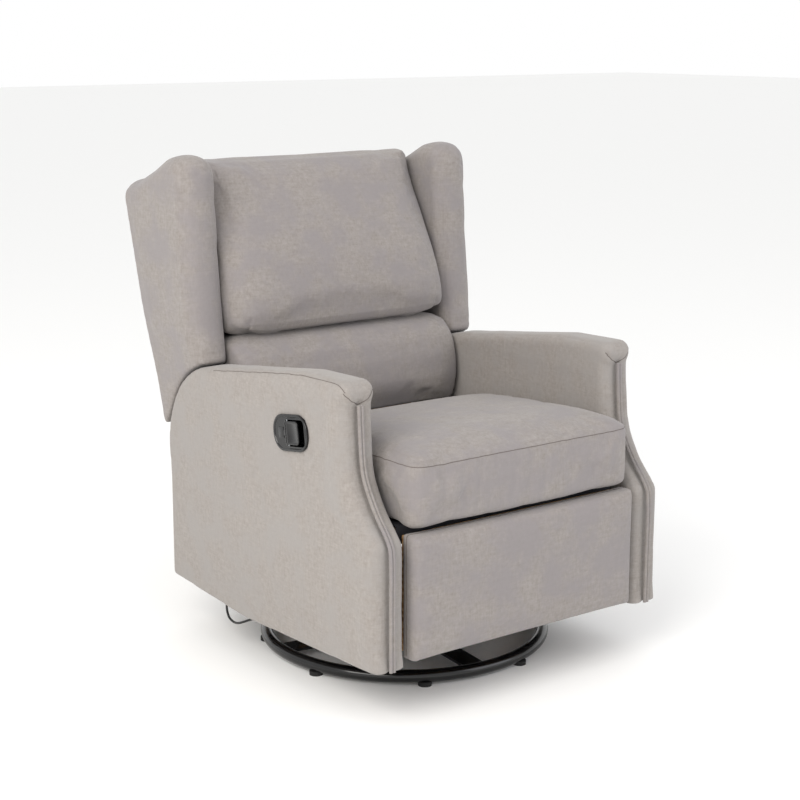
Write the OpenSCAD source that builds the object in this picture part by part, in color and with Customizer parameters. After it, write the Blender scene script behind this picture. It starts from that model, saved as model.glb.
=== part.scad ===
// Swivel glider recliner for a nursery: a wing-back armchair on a ring base.
// Frame: +Z up, the sitter faces -Y, the sitter's right hand is on the -X side.
// The origin is on the floor under the middle of the chair's outline.

/* [Body] */
// Width over the two side panels
body_w = 730; // [720:1:740]
// Thickness of a padded side panel
side_t = 76; // [74:1:80]
// Height of the side panels' lower corners above the floor
side_low_z = 112; // [108:1:116]
// Height of the seat cushion's underside
cushion_z = 374; // [373:1:376]

/* [Base] */
// Outer radius of the floor ring
ring_r = 309; // [300:1:315]
// Diameter of the floor ring's tube
ring_tube_d = 26; // [24:1:28]
// Distance of the swivel axis from the origin, along Y
swivel_y = -50; // [-55:1:-45]
// Width of the flat bars that cross the ring
bar_w = 45; // [38:1:50]
// Turn of the base under the seat, in degrees
base_turn = -6.5; // [-10:0.5:10]

/* [Glide] */
// Length of a glide link between its two pivots
glide_len = 150; // [145:1:152]
// Half the distance between the front and the rear links
glide_half = 120; // [115:1:125]
// Height of the lower glide pivots
glide_low_z = 105; // [104:1:106]

/* [Back] */
// Recline pivot, along Y
recline_y = 115; // [114:1:116]
// Recline pivot's height
recline_z = 404; // [403:1:405]
// Lean of the upright back from the vertical, in degrees
back_lean = 15.4; // [15:0.1:16]

/* [Footrest] */
// Length of the lift arm between its pivots
lift_len = 185; // [183:1:187]
// Length of the reach link between its pivots
reach_len = 174; // [172:1:176]
// Angle of the folded lift arm below the forward level, in degrees
lift_angle = -114; // [-115:1:-113]
// Angle of the reach link above the forward level, in degrees
reach_angle = 41; // [40:1:42]
// Height of the padded footrest panel
footrest_h = 251; // [245:1:253]

/* [Handle] */
// Length of the release handle's plate
plate_l = 118; // [112:1:122]
// Height of the release handle's plate
plate_h = 72; // [68:1:76]
// Slope of the handle's plate, front end up, in degrees
plate_tilt = 8.5; // [6:0.5:10]

/* [Hidden] */
$fn = 64;

fabric = "tan";
steel = "dimgray";
wood = "burlywood";

// Widths, measured from the middle of the chair
side_x = body_w / 2;
inner_x = side_x - side_t;
seat_x = inner_x - 3;
plate_t = 4;
plate_gap = 1.5;
mech_x = inner_x - 14;
lift_x = mech_x - plate_gap - plate_t;
reach_x = lift_x - plate_gap - plate_t;
bracket_x = reach_x - plate_gap - plate_t;
tilt_x = bracket_x - plate_gap - plate_t;
hinge_x = inner_x - 8;
wing_x = inner_x - 3.5;

// Base
ring_mid_r = ring_r - ring_tube_d / 2;
ring_wall = 2;
foot_h = 6.5;
ring_z = foot_h + ring_tube_d / 2;
bar_t = 6;
bar_top_z = ring_z + 4;
foot_r = 14;
foot_stud_r = 3;
disc_r = 110;
disc_t = 4;
race_z = bar_top_z + disc_t;
race_h = 8;
upper_z = race_z + race_h + 0.3;
upper_t = 6;
king_r = 10;
frame_z = upper_z + upper_t;

// Glide
post_x = 208;
link_x = post_x + plate_t + 2;
rail_x = link_x + plate_t + 2;
glide_top_z = glide_low_z + glide_len;
glide_pin_r = 6;
post_w = 44;
tube_s = 16;
front_tube_y = swivel_y - glide_half - 88;
rear_tube_y = swivel_y + glide_half + 100;
tube_z = glide_low_z - 7;

// Pins and bores
pin_r = 5;
run = 0.05;
head_r = 7.5;
head_t = 1;

// Footrest linkage in the Y-Z plane: two parallelograms that share the lift arm
function ahead(a) = [-cos(a), sin(a)];
lift_foot = [-320, 320];
steady_step = [31, -10];
tilt_step = 28 * ahead(-80);
lift_end = lift_foot + lift_len * ahead(lift_angle);
reach_end = lift_end + reach_len * ahead(reach_angle);
steady_foot = lift_foot + steady_step;
steady_end = lift_end + steady_step;
tilt_foot = lift_end + tilt_step;
tilt_end = reach_end + tilt_step;
bar_lift = 20;
bar_slim = 16;

// Footrest panel
pad_low_z = 118;
pad_front_y = -458;
pad_back_y = -413;
board_t = 12;

// Back: s runs up the leaning back, t runs to the rear, both from the outer back's lower edge
recline = [recline_y, recline_z];
back_foot = [329, 444];
up = [sin(back_lean), cos(back_lean)];
rear = [cos(back_lean), -sin(back_lean)];
function on_back(s, t) = back_foot + s * up + t * rear;
arc_r = 197;

// Handle plate
plate_y = -176;
plate_z = 523;
plate_out = 4;
cup_depth = 18;
cup_front = -50;
cup_rear = 15;
lever_tip = -30;
lever_pin = 10;

// Release cable: from the handle, down inside the side panel, a loop below it, up to the clip
cable_d = 5;
cable_route = [[-330, -150, 500], [-330, -125, 465], [-330, -70, 390], [-330, -10, 308],
               [-330, 50, 226], [-330, 105, 150], [-330, 130, 112], [-330, 138, 90],
               [-330, 138, 68], [-330, 128, 54], [-330, 110, 50], [-330, 93, 53],
               [-328, 78, 59], [-322, 62, 67], [-311, 48, 73], [-296, 37, 79],
               [-285, 29, 90], [-284, 26, 112], [-284, 25, 132], [-284, 25, 150]];

function arc(c, r, a0, a1, n) =
    [for (i = [0:n]) c + r * [cos(a0 + (a1 - a0) * i / n), sin(a0 + (a1 - a0) * i / n)]];

// Outline of a side panel: S-shaped front, rolled arm top, rear corner round the recline pivot
side_outline = concat(
    [[-447, side_low_z], [-447, 345]],
    arc([-417, 345], 30, 180, 138, 4),
    [[-395, 412], [-368, 455], [-357, 490], [-350, 560], [-347, 605]],
    arc([-330, 630], 25, 195, 90, 6),
    [[-205, 652], [50, 618], [150, 598]],
    arc(recline, arc_r, 72, 0, 16),
    [[307, 330], [309, side_low_z], [30, side_low_z - 18]]);
board_outline = [[-430, 116], [-430, 342], (lift_foot + [-60, 100]), [-335, 480], [-325, 620],
                 [-205, 635], [140, 585], [215, 548], [265, 490], [290, 404], [290, 116]];

// Outline of a wing: straight rear edge, humped top, front edge, lower edge over the arm
wing_outline = concat(
    [back_foot, [401, 704], [468, 948], [440, 961], [350, 996], [297, 1022], [262, 1029],
     [232, 1027], [214, 1015], [203, 990], [190, 880], [183, 783], [166, 607]],
    arc(recline, arc_r + 4, 76, 32, 10),
    [recline + 203 * [cos(20), sin(20)], recline + 212 * [cos(11.5), sin(11.5)]]);

cushion_outline = concat(
    [[96, cushion_z], [96, 425], [108, 452], [-124, 490], [-338, 506], [-440, 506]],
    arc([-452, 490], 16, 75, 170, 4),
    arc([-444, 402], 25, 185, 270, 5),
    [[-420, cushion_z]]);

pillow_outline = concat(
    [on_back(194, -74), on_back(505, -74), on_back(505, -1), [466, 946]],
    [[440, 966], [395, 987], [345, 1003], [312, 1005], [286, 992], [255, 935], [212, 862]],
    [[176, 790], [152, 725], [146, 690], [152, 662], [172, 646]]);

lumbar_outline = [[124, 446], [116, 470], [112, 510], [120, 560], [136, 600], [160, 626],
                  [200, 639], on_back(180, -74), on_back(100, -74), [244, 520], [232, 456]];

// Draws a flat Y-Z outline as a plate that is t thick, from x outwards
module slab(x, t) {
    translate([x, 0, 0]) rotate([90, 0, 90]) linear_extrude(t) children();
}
module on_left() { children(); }
module on_right() { mirror([1, 0, 0]) children(); }
module on_both() { on_left() children(); on_right() children(); }

// A straight bar with round ends between two Y-Z points
module bar_shape(p, q, w) {
    a = atan2(q[1] - p[1], q[0] - p[0]);
    polygon(concat(arc(q, w / 2, a - 90, a + 90, 12), arc(p, w / 2, a + 90, a + 270, 12)));
}
module bore(p, r) { translate([-400, p[0], p[1]]) rotate([0, 90, 0]) cylinder(h = 800, r = r); }
module shaft(p, x0, x1, r) {
    translate([x0, p[0], p[1]]) rotate([0, 90, 0]) cylinder(h = x1 - x0, r = r);
}
// A rivet between two X positions, with a head outside each
module rivet(p, x0, x1, r, head) {
    shaft(p, x0, x1, r);
    shaft(p, x0 - head_t, x0, head);
    shaft(p, x1, x1 + head_t, head);
}
module ring(r, d, z) { translate([0, swivel_y, z]) rotate_extrude() translate([r, 0]) circle(d = d); }
module leaning(s0, s1, t0, t1, x0, x1) {
    slab(x0, x1 - x0) polygon([on_back(s0, t0), on_back(s1, t0), on_back(s1, t1), on_back(s0, t1)]);
}

// Base
module foot_places() {
    for (i = [0:7]) translate([0, swivel_y, 0]) rotate(base_turn + 22.5 + 45 * i)
        translate([ring_mid_r, 0, 0])
        children();
}
module floor_ring() {
    color("black") difference() {
        ring(ring_mid_r, ring_tube_d, ring_z);
        ring(ring_mid_r, ring_tube_d - 2 * ring_wall, ring_z);
        foot_places() cylinder(h = ring_z, r = foot_stud_r);
    }
}
module cross_bars() {
    color("black") difference() {
        translate([0, swivel_y, bar_top_z - bar_t / 2]) rotate(base_turn) union() {
            cube([2 * ring_mid_r, bar_w, bar_t], center = true);
            cube([bar_w, 2 * ring_mid_r, bar_t], center = true);
        }
        ring(ring_mid_r, ring_tube_d, ring_z);
        translate([0, swivel_y, 0]) cylinder(h = 60, r = king_r);
    }
}
module ring_feet() {
    color("black") {
        difference() {
            foot_places() cylinder(h = foot_h + 2, r = foot_r);
            ring(ring_mid_r, ring_tube_d, ring_z);
        }
        foot_places() translate([0, 0, foot_h - 1]) cylinder(h = ring_wall + 3, r = foot_stud_r);
    }
}
module disc(z, t, r, hole) {
    translate([0, swivel_y, z]) difference() {
        cylinder(h = t, r = r);
        translate([0, 0, -1]) cylinder(h = t + 2, r = hole);
    }
}
module swivel_lower_plate() { color(steel) disc(bar_top_z, disc_t, disc_r, king_r); }
module swivel_bearing() { color("silver") disc(race_z, race_h, 90, 70); }
module king_pin() {
    color("silver") translate([0, swivel_y, 0]) {
        translate([0, 0, bar_top_z - bar_t - 2]) cylinder(h = 2, r = king_r + 6);
        translate([0, 0, bar_top_z - bar_t]) cylinder(h = frame_z + 1 - bar_top_z + bar_t, r = king_r);
        translate([0, 0, frame_z + 0.4]) cylinder(h = 8, r = king_r + 7, $fn = 6);
    }
}

// Turning frame that carries the glide links
module swivel_upper_plate() { color(steel) disc(upper_z, upper_t, disc_r, king_r + run); }
module glide_base_frame() {
    beam = 20;
    color(steel) {
        for (s = [-1, 1]) {
            translate([-post_x, swivel_y + s * glide_half - beam / 2, frame_z])
                cube([2 * post_x, beam, beam]);
            translate([s * 70 - beam / 2, swivel_y - glide_half, frame_z])
                cube([beam, 2 * glide_half, beam]);
        }
        on_both() for (s = [-1, 1]) difference() {
            slab(post_x, plate_t) union() {
                translate([swivel_y + s * glide_half - post_w / 2, frame_z])
                    square([post_w, glide_top_z - frame_z]);
                translate([swivel_y + s * glide_half, glide_top_z]) circle(d = post_w);
            }
            bore([swivel_y + s * glide_half, glide_top_z], glide_pin_r);
        }
    }
}
module glide_upper_pins() {
    color("silver") on_both() for (s = [-1, 1])
        rivet([swivel_y + s * glide_half, glide_top_z], post_x, link_x + plate_t + 0.3, glide_pin_r, 9);
}
module glide_link(s) {
    y = swivel_y + s * glide_half;
    color("silver") difference() {
        slab(link_x, plate_t) bar_shape([y, glide_low_z], [y, glide_top_z], 24);
        bore([y, glide_low_z], glide_pin_r + run);
        bore([y, glide_top_z], glide_pin_r + run);
    }
}
module glide_link_front_left() { on_left() glide_link(-1); }
module glide_link_front_right() { on_right() glide_link(-1); }
module glide_link_rear_left() { on_left() glide_link(1); }
module glide_link_rear_right() { on_right() glide_link(1); }

// Carriage: rails, tubes and mechanism plates
module tube_blocks() {
    for (y = [front_tube_y, rear_tube_y])
        translate([-mech_x, y - tube_s / 2, tube_z - tube_s / 2]) cube([2 * mech_x, tube_s, tube_s]);
}
module glide_rail() {
    color(steel) difference() {
        slab(rail_x, plate_t) translate([front_tube_y - 18, glide_low_z - 15])
            square([rear_tube_y - front_tube_y + 36, 30]);
        tube_blocks();
        for (s = [-1, 1]) bore([swivel_y + s * glide_half, glide_low_z], glide_pin_r);
    }
}
module glide_rail_left() { on_left() glide_rail(); }
module glide_rail_right() { on_right() glide_rail(); }
module glide_lower_pins() {
    color("silver") on_both() for (s = [-1, 1])
        rivet([swivel_y + s * glide_half, glide_low_z], link_x - 0.3, rail_x + plate_t, glide_pin_r, 9);
}
module carriage_tubes() {
    wall = 2;
    color(steel) difference() {
        tube_blocks();
        for (y = [front_tube_y, rear_tube_y])
            translate([-mech_x - 1, y - tube_s / 2 + wall, tube_z - tube_s / 2 + wall])
                cube([2 * mech_x + 2, tube_s - 2 * wall, tube_s - 2 * wall]);
    }
}
module mechanism_plate() {
    top_z = cushion_z - 4;
    low_z = tube_z - tube_s / 2;
    color(steel) difference() {
        slab(mech_x, plate_t) union() {
            polygon([[front_tube_y - 20, low_z], [rear_tube_y + 20, low_z], [rear_tube_y + 20, 130],
                     [128, 220], [125, top_z - 4], [101, top_z], [-385, top_z], [-385, 332],
                     [-345, 296], [-300, 210]]);
            bar_shape([recline_y, recline_z], [recline_y, top_z - 20], 28);
        }
        bore(lift_foot, pin_r);
        bore(steady_foot, pin_r);
        bore(recline, 6);
        slab(mech_x - 1, plate_t + 2)
            polygon([[-230, 160], [90, 160], [60, 300], [-180, 300]]);
    }
}
module mechanism_plate_left() { on_left() mechanism_plate(); }
module mechanism_plate_right() { on_right() mechanism_plate(); }
module footrest_fixed_pins() {
    color("silver") on_both() for (p = [lift_foot, steady_foot])
        rivet(p, lift_x - 0.3, mech_x + plate_t, pin_r, head_r);
}
module recline_pins() {
    color("silver") on_both() rivet(recline, mech_x, hinge_x + plate_t + 0.3, 6, 9);
}

// Seat
seat_front_y = -385;
seat_rear_y = 95;
rail_h = 32;
rail_t = 22;
frame_top_z = cushion_z - 8;
module seat_frame() {
    color(wood) difference() {
        translate([-mech_x, seat_front_y, frame_top_z - rail_h])
            cube([2 * mech_x, seat_rear_y - seat_front_y, rail_h]);
        translate([-mech_x + rail_t, seat_front_y + rail_t, frame_top_z - rail_h - 1])
            cube([2 * (mech_x - rail_t), seat_rear_y - seat_front_y - 2 * rail_t, rail_h + 2]);
    }
}
// A flat zigzag wire of n bends that runs along the first axis
module zigzag(length, n, half_w, wire) {
    pitch = length / n;
    miter = [0, wire / 2 / sin(atan2(pitch, 2 * half_w))];
    path = [for (i = [0:n]) [pitch * i, (i == 0 || i == n) ? 0 : (i % 2 == 0 ? half_w : -half_w)]];
    polygon(concat([for (p = path) p - miter], [for (i = [n:-1:0]) path[i] + miter]));
}
spring_wire = 3.6;
module seat_springs() {
    color("silver") for (i = [-2:2])
        translate([i * 100, seat_front_y + 4, frame_top_z]) rotate(90) linear_extrude(spring_wire)
            zigzag(seat_rear_y - seat_front_y - 8, 26, 20, spring_wire);
}
module seat_deck() {
    fall_t = 2;
    deck_z = frame_top_z + spring_wire;
    color(fabric) {
        translate([-mech_x, seat_front_y, deck_z])
            cube([2 * mech_x, seat_rear_y - seat_front_y, cushion_z - deck_z]);
        translate([-mech_x, seat_front_y - fall_t, frame_top_z - rail_h])
            cube([2 * mech_x, fall_t, cushion_z - frame_top_z + rail_h]);
    }
}
module seat_cushion() { color(fabric) slab(-seat_x, 2 * seat_x) polygon(cushion_outline); }

// Padded side panels, each over a board
board_x = inner_x + 14;
board_w = 18;
module side_pocket() {
    slab(board_x, board_w) polygon(concat(board_outline, [[290, 60], [-430, 60]]));
}
module side_cover() {
    difference() {
        slab(inner_x, side_t) polygon(side_outline);
        side_pocket();
    }
}
module side_board() { color(wood) slab(board_x, board_w) polygon(board_outline); }
module in_plate_frame() {
    translate([-side_x, plate_y, plate_z]) rotate([-plate_tilt, 0, 0]) children();
}
module cable_channel() {
    run_up = [-156, 510];
    run_down = [149, 80];
    slab(-335, 10) bar_shape(run_up, run_down, 17);
}
module side_cover_left() { color(fabric) on_left() side_cover(); }
module side_cover_right() {
    color(fabric) difference() {
        on_right() side_cover();
        in_plate_frame() translate([-1, cup_front - 4, -30]) cube([41, cup_rear - cup_front + 8, 60]);
        cable_channel();
    }
}
module side_board_left() { on_left() side_board(); }
module side_board_right() { on_right() side_board(); }
module side_cleats() {
    color(wood) on_both() for (z = [138, 325])
        translate([mech_x + plate_t, -270, z]) cube([inner_x - mech_x - plate_t, 260, 30]);
}
// The rear panel is narrower above the side arms' corner, where the hinge plates swing past it
rear_step_z = recline_z - 1;
rear_top_z = recline_z + 34;
module rear_sheet(y, t, low_z) {
    narrow = hinge_x - 3;
    translate([-inner_x, y, low_z]) cube([2 * inner_x, t, rear_step_z - low_z]);
    translate([-narrow, y, rear_step_z]) cube([2 * narrow, t, rear_top_z - rear_step_z]);
}
module rear_board() { color(wood) rear_sheet(290, 10, 118); }
module rear_cover() { color(fabric) rear_sheet(300, 5, 114); }

// Narrow double-piped strip up the middle of a side panel's front edge
module front_welt() {
    strip_w = 16;
    proud = 3;
    front = [[-447, 116], [-447, 345], [-439, 363], [-395, 412], [-368, 455], [-357, 490],
             [-350, 560], [-348, 600]];
    n = len(front) - 1;
    color(fabric) difference() {
        slab(side_x - side_t / 2 - strip_w / 2, strip_w)
            polygon(concat(front, [for (i = [n:-1:0]) front[i] - [proud, 0]]));
        slab(inner_x - 1, side_t + 2) polygon(side_outline);
    }
}
module front_welt_left() { on_left() front_welt(); }
module front_welt_right() { on_right() front_welt(); }

// Release handle on the sitter's right
module plate_outline() {
    corner = 33;
    half = [plate_l / 2 - corner, plate_h / 2 - corner];
    square([plate_l, 2 * half[1]], center = true);
    square([2 * half[0], plate_h], center = true);
    for (s = [-1, 1]) for (t = [-1, 1]) translate([s * half[0], t * half[1]]) circle(r = corner);
}
module handle_plate() {
    color("black") in_plate_frame() difference() {
        union() {
            translate([-plate_out, 0, 0]) rotate([90, 0, 90]) linear_extrude(plate_out) plate_outline();
            translate([0, cup_front - 2, -28]) cube([cup_depth + 2, cup_rear - cup_front + 4, 56]);
        }
        translate([-plate_out - 1, cup_front, -26])
            cube([cup_depth + plate_out + 1, cup_rear - cup_front, 52]);
        translate([-1, lever_pin, -35]) cylinder(h = 70, r = 2);
    }
}
module handle_pin() {
    color("silver") in_plate_frame() translate([-1, lever_pin, -27.5]) cylinder(h = 55, r = 2);
}
module handle_lever() {
    color("black") in_plate_frame() difference() {
        union() {
            translate([-plate_out - 1, lever_tip, -23]) cube([3.5, lever_pin - lever_tip, 46]);
            translate([-1, lever_pin, -23]) cylinder(h = 46, r = 4);
            translate([-plate_out - 1, lever_tip, -23]) cube([8, 3, 46]);
        }
        translate([-1, lever_pin, -30]) cylinder(h = 60, r = 2 + run);
    }
}

// Sheathed release cable, swept along its route
function unit(v) = v / norm(v);
function tangent(path, i) =
    unit(path[min(i + 1, len(path) - 1)] - path[max(i - 1, 0)]);
module sweep(path, d, sides) {
    rings = [for (i = [0:len(path) - 1]) let (
        t = tangent(path, i),
        a = unit(cross(t, [1, 0.1, 0])),
        b = cross(t, a))
        for (k = [0:sides - 1]) path[i] + d / 2 * (cos(360 * k / sides) * a + sin(360 * k / sides) * b)];
    n = len(path);
    walls = [for (i = [0:n - 2]) for (k = [0:sides - 1]) let (j = (k + 1) % sides)
        [i * sides + k, i * sides + j, (i + 1) * sides + j, (i + 1) * sides + k]];
    polyhedron(rings, concat(walls, [[for (k = [sides - 1:-1:0]) k],
        [for (k = [0:sides - 1]) (n - 1) * sides + k]]));
}
// Points between two route points on a Catmull-Rom curve
function between(p, i, u) = let (
    a = p[max(i - 1, 0)], b = p[i], c = p[i + 1], e = p[min(i + 2, len(p) - 1)])
    0.5 * (2 * b + (c - a) * u + (2 * a - 5 * b + 4 * c - e) * u * u
           + (3 * b - a - 3 * c + e) * u * u * u);
function smooth_route(p, n) = concat(
    [for (i = [0:len(p) - 2]) for (k = [0:n - 1]) between(p, i, k / n)], [p[len(p) - 1]]);
module release_cable() { color("black") sweep(smooth_route(cable_route, 3), cable_d, 8); }
module cable_clip() {
    clip = cable_route[len(cable_route) - 1];
    color("silver") difference() {
        translate([-inner_x + 1, clip[1] - 8, clip[2] - 4]) cube([9, 16, 18]);
        translate([clip[0], clip[1], clip[2] - 5]) cylinder(h = 5, r = cable_d / 2 + 0.2);
    }
}

// Footrest linkage
tube_d = 22;
tube_at = lift_foot + 60 * ahead(lift_angle);
tie_at = lift_end + 60 * ahead(reach_angle);
module lift_arms() {
    color(steel) {
        on_both() difference() {
            slab(lift_x, plate_t) union() {
                bar_shape(lift_foot, lift_end, bar_lift);
                bar_shape(lift_end, tilt_foot, bar_lift - 2);
            }
            bore(lift_foot, pin_r + run);
            bore(lift_end, pin_r);
            bore(tilt_foot, pin_r);
        }
        shaft(tube_at, -lift_x, lift_x, tube_d / 2);
    }
}
module lift_arm_pins() {
    color("silver") on_both() {
        rivet(lift_end, reach_x - 0.3, lift_x + plate_t, pin_r, head_r);
        rivet(tilt_foot, tilt_x - 0.3, lift_x + plate_t, pin_r, head_r);
    }
}
module reach_links() {
    color(steel) {
        on_both() difference() {
            slab(reach_x, plate_t) union() {
                bar_shape(lift_end, reach_end, bar_slim);
                bar_shape(lift_end, steady_end, bar_slim - 1);
            }
            bore(lift_end, pin_r + run);
            bore(reach_end, pin_r);
            bore(steady_end, pin_r);
        }
        shaft(tie_at, -reach_x, reach_x, 5);
    }
}
module reach_link_pins() {
    color("silver") on_both() {
        rivet(reach_end, bracket_x - 0.3, reach_x + plate_t, pin_r, head_r);
        rivet(steady_end, reach_x, lift_x + plate_t + 0.3, pin_r, head_r);
    }
}
open_gap = 0.15;
module steady_link() {
    color("silver") difference() {
        slab(lift_x, plate_t) bar_shape(steady_foot, steady_end, bar_slim);
        bore(steady_foot, pin_r + run);
        bore(steady_end, pin_r + open_gap);
    }
}
module steady_link_left() { on_left() steady_link(); }
module steady_link_right() { on_right() steady_link(); }
module tilt_link() {
    color("silver") difference() {
        slab(tilt_x, plate_t) bar_shape(tilt_foot, tilt_end, bar_slim);
        bore(tilt_foot, pin_r + run);
        bore(tilt_end, pin_r + open_gap);
    }
}
module tilt_link_left() { on_left() tilt_link(); }
module tilt_link_right() { on_right() tilt_link(); }
module footrest_brackets() {
    board_back_y = pad_back_y + board_t;
    color(steel) on_both() {
        difference() {
            slab(bracket_x, plate_t) polygon(concat(
                [[board_back_y, tilt_end[1] - 20]], arc(tilt_end, 10, -70, 0, 4),
                arc(reach_end, 10, 0, 70, 4), [[board_back_y, reach_end[1] + 22]]));
            bore(reach_end, pin_r + run);
            bore(tilt_end, pin_r);
        }
        translate([bracket_x - 32, board_back_y, tilt_end[1] - 20])
            cube([32 + plate_t, 3, reach_end[1] - tilt_end[1] + 42]);
    }
}
module footrest_bracket_pins() {
    color("silver") on_both() rivet(tilt_end, tilt_x - 0.3, bracket_x + plate_t, pin_r, head_r);
}
module footrest_board() {
    color(wood) translate([-270, pad_back_y, pad_low_z + 12]) cube([540, board_t, footrest_h - 24]);
}
module footrest_pad() {
    round_r = 16;
    top = pad_low_z + footrest_h;
    color(fabric) slab(-seat_x + 0.5, 2 * seat_x - 1) polygon(concat(
        [[pad_back_y, pad_low_z], [pad_back_y, top]],
        arc([pad_front_y + round_r, top - round_r], round_r, 90, 180, 5),
        arc([pad_front_y + round_r, pad_low_z + round_r], round_r, 180, 270, 5)));
}

// Back
stile_t = 22;
stile_x = hinge_x - stile_t;
module back_frame() {
    color(wood) {
        on_both() leaning(76, 490, -72, -12, stile_x, hinge_x);
        for (s = [76, 270, 460]) leaning(s, s + 30, -72, -12, -stile_x, stile_x);
    }
}
module back_springs() {
    color("silver") for (s = [140, 200, 340, 400])
        translate([0, on_back(s, -48)[0], on_back(s, -48)[1]]) rotate([90 - back_lean, 0, 0])
            linear_extrude(spring_wire) translate([-stile_x, 0]) zigzag(2 * stile_x, 26, 18, spring_wire);
}
module back_hinge_plates() {
    color(steel) on_both() difference() {
        slab(hinge_x, plate_t) union() {
            bar_shape(recline, on_back(110, -42), 28);
            bar_shape(on_back(110, -42), on_back(250, -42), 26);
        }
        bore(recline, 6 + run);
    }
}
module outer_back() { color(fabric) leaning(0, 505, -12, 0, -wing_x, wing_x); }
module wing() { color(fabric) slab(wing_x, side_x - wing_x) polygon(wing_outline); }
module wing_left() { on_left() wing(); }
module wing_right() { on_right() wing(); }
module head_pillow() { color(fabric) slab(-wing_x + 2, 2 * wing_x - 4) polygon(pillow_outline); }
module lumbar_cushion() {
    half = hinge_x - 2;
    color(fabric) slab(-half, 2 * half) polygon(lumbar_outline);
}

floor_ring();
cross_bars();
ring_feet();
swivel_lower_plate();
swivel_bearing();
king_pin();
swivel_upper_plate();
glide_base_frame();
glide_upper_pins();
glide_link_front_left();
glide_link_front_right();
glide_link_rear_left();
glide_link_rear_right();
glide_rail_left();
glide_rail_right();
glide_lower_pins();
carriage_tubes();
mechanism_plate_left();
mechanism_plate_right();
footrest_fixed_pins();
recline_pins();
seat_frame();
seat_springs();
seat_deck();
seat_cushion();
side_cover_left();
side_cover_right();
side_board_left();
side_board_right();
side_cleats();
rear_board();
rear_cover();
front_welt_left();
front_welt_right();
handle_plate();
handle_pin();
release_cable();
cable_clip();
handle_lever();
lift_arms();
lift_arm_pins();
reach_links();
reach_link_pins();
steady_link_left();
steady_link_right();
tilt_link_left();
tilt_link_right();
footrest_brackets();
footrest_bracket_pins();
footrest_board();
footrest_pad();
back_frame();
back_springs();
back_hinge_plates();
outer_back();
wing_left();
wing_right();
head_pillow();
lumbar_cushion();
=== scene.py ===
"""A padded glider chair: upholstery, release handle and base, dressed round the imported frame."""
import logging
import math
from dataclasses import dataclass, field
from enum import Enum
from typing import Callable, Iterable, Optional, Sequence

import bmesh
import bpy
import numpy as np
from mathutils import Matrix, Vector


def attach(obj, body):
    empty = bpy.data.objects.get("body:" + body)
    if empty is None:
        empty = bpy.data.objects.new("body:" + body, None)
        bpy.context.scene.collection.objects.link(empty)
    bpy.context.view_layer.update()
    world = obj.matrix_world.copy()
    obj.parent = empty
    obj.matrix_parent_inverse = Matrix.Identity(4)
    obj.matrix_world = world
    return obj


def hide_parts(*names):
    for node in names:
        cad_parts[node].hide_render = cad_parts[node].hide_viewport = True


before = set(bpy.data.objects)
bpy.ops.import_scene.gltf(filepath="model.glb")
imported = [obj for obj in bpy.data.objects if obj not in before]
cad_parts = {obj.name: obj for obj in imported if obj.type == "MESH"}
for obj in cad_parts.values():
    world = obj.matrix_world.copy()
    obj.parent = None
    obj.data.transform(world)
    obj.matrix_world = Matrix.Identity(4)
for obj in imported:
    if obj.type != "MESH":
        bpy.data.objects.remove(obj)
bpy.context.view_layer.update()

LOG = logging.getLogger("glider_chair")
MM = 0.001

Outline = list[tuple[float, float]]
PointRule = Callable[[np.ndarray, np.ndarray], np.ndarray]


class Pick(Enum):
    """What a selection in edit mode picks."""

    POINTS = "VERT"
    EDGES = "EDGE"
    FACES = "FACE"


# ---------------------------------------------------------------- plane geometry, in millimetres

def arc(centre: tuple[float, float], radius: float, first: float, last: float, steps: int) -> Outline:
    """Points on an arc.

    Args:
        centre: The arc's centre.
        radius: Its radius.
        first: The angle that it starts at, in degrees.
        last: The angle that it ends at, in degrees.
        steps: How many chords it has.

    Returns:
        steps + 1 points from first to last.
    """
    angles = [math.radians(first + (last - first) * i / steps) for i in range(steps + 1)]
    return [(centre[0] + radius * math.cos(a), centre[1] + radius * math.sin(a)) for a in angles]


def smooth_path(points: Sequence[Sequence[float]], spacing: float) -> np.ndarray:
    """A smooth curve through points, as evenly spaced points.

    Args:
        points: The points that the curve passes through, in two or three coordinates.
        spacing: The distance between the points returned, in the same unit.

    Returns:
        An array with a row for each point.
    """
    knots = np.asarray(points, dtype=float)
    ends = np.vstack([2 * knots[0] - knots[1], knots, 2 * knots[-1] - knots[-2]])
    fine = []
    for i in range(1, len(ends) - 2):
        p0, p1, p2, p3 = ends[i - 1], ends[i], ends[i + 1], ends[i + 2]
        for t in np.linspace(0, 1, 12, endpoint=False):
            fine.append(0.5 * (2 * p1 + (p2 - p0) * t + (2 * p0 - 5 * p1 + 4 * p2 - p3) * t**2
                               + (3 * p1 - p0 - 3 * p2 + p3) * t**3))
    fine.append(knots[-1])
    line = np.asarray(fine)
    run = np.concatenate([[0], np.cumsum(np.linalg.norm(np.diff(line, axis=0), axis=1))])
    stations = np.linspace(0, run[-1], max(2, int(round(run[-1] / spacing)) + 1))
    return np.stack([np.interp(stations, run, line[:, k]) for k in range(line.shape[1])], axis=1)


def path_distance(points: np.ndarray, path: np.ndarray) -> np.ndarray:
    """How far each point is from a line of points.

    Args:
        points: Rows of coordinates.
        path: Rows of coordinates that a polyline runs through.

    Returns:
        One distance for each point.
    """
    best = np.full(len(points), np.inf)
    for a, b in zip(path[:-1], path[1:]):
        leg = b - a
        t = np.clip(((points - a) @ leg) / max(float(leg @ leg), 1e-12), 0, 1)
        best = np.minimum(best, np.linalg.norm(points - (a + t[:, None] * leg), axis=1))
    return best


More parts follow.
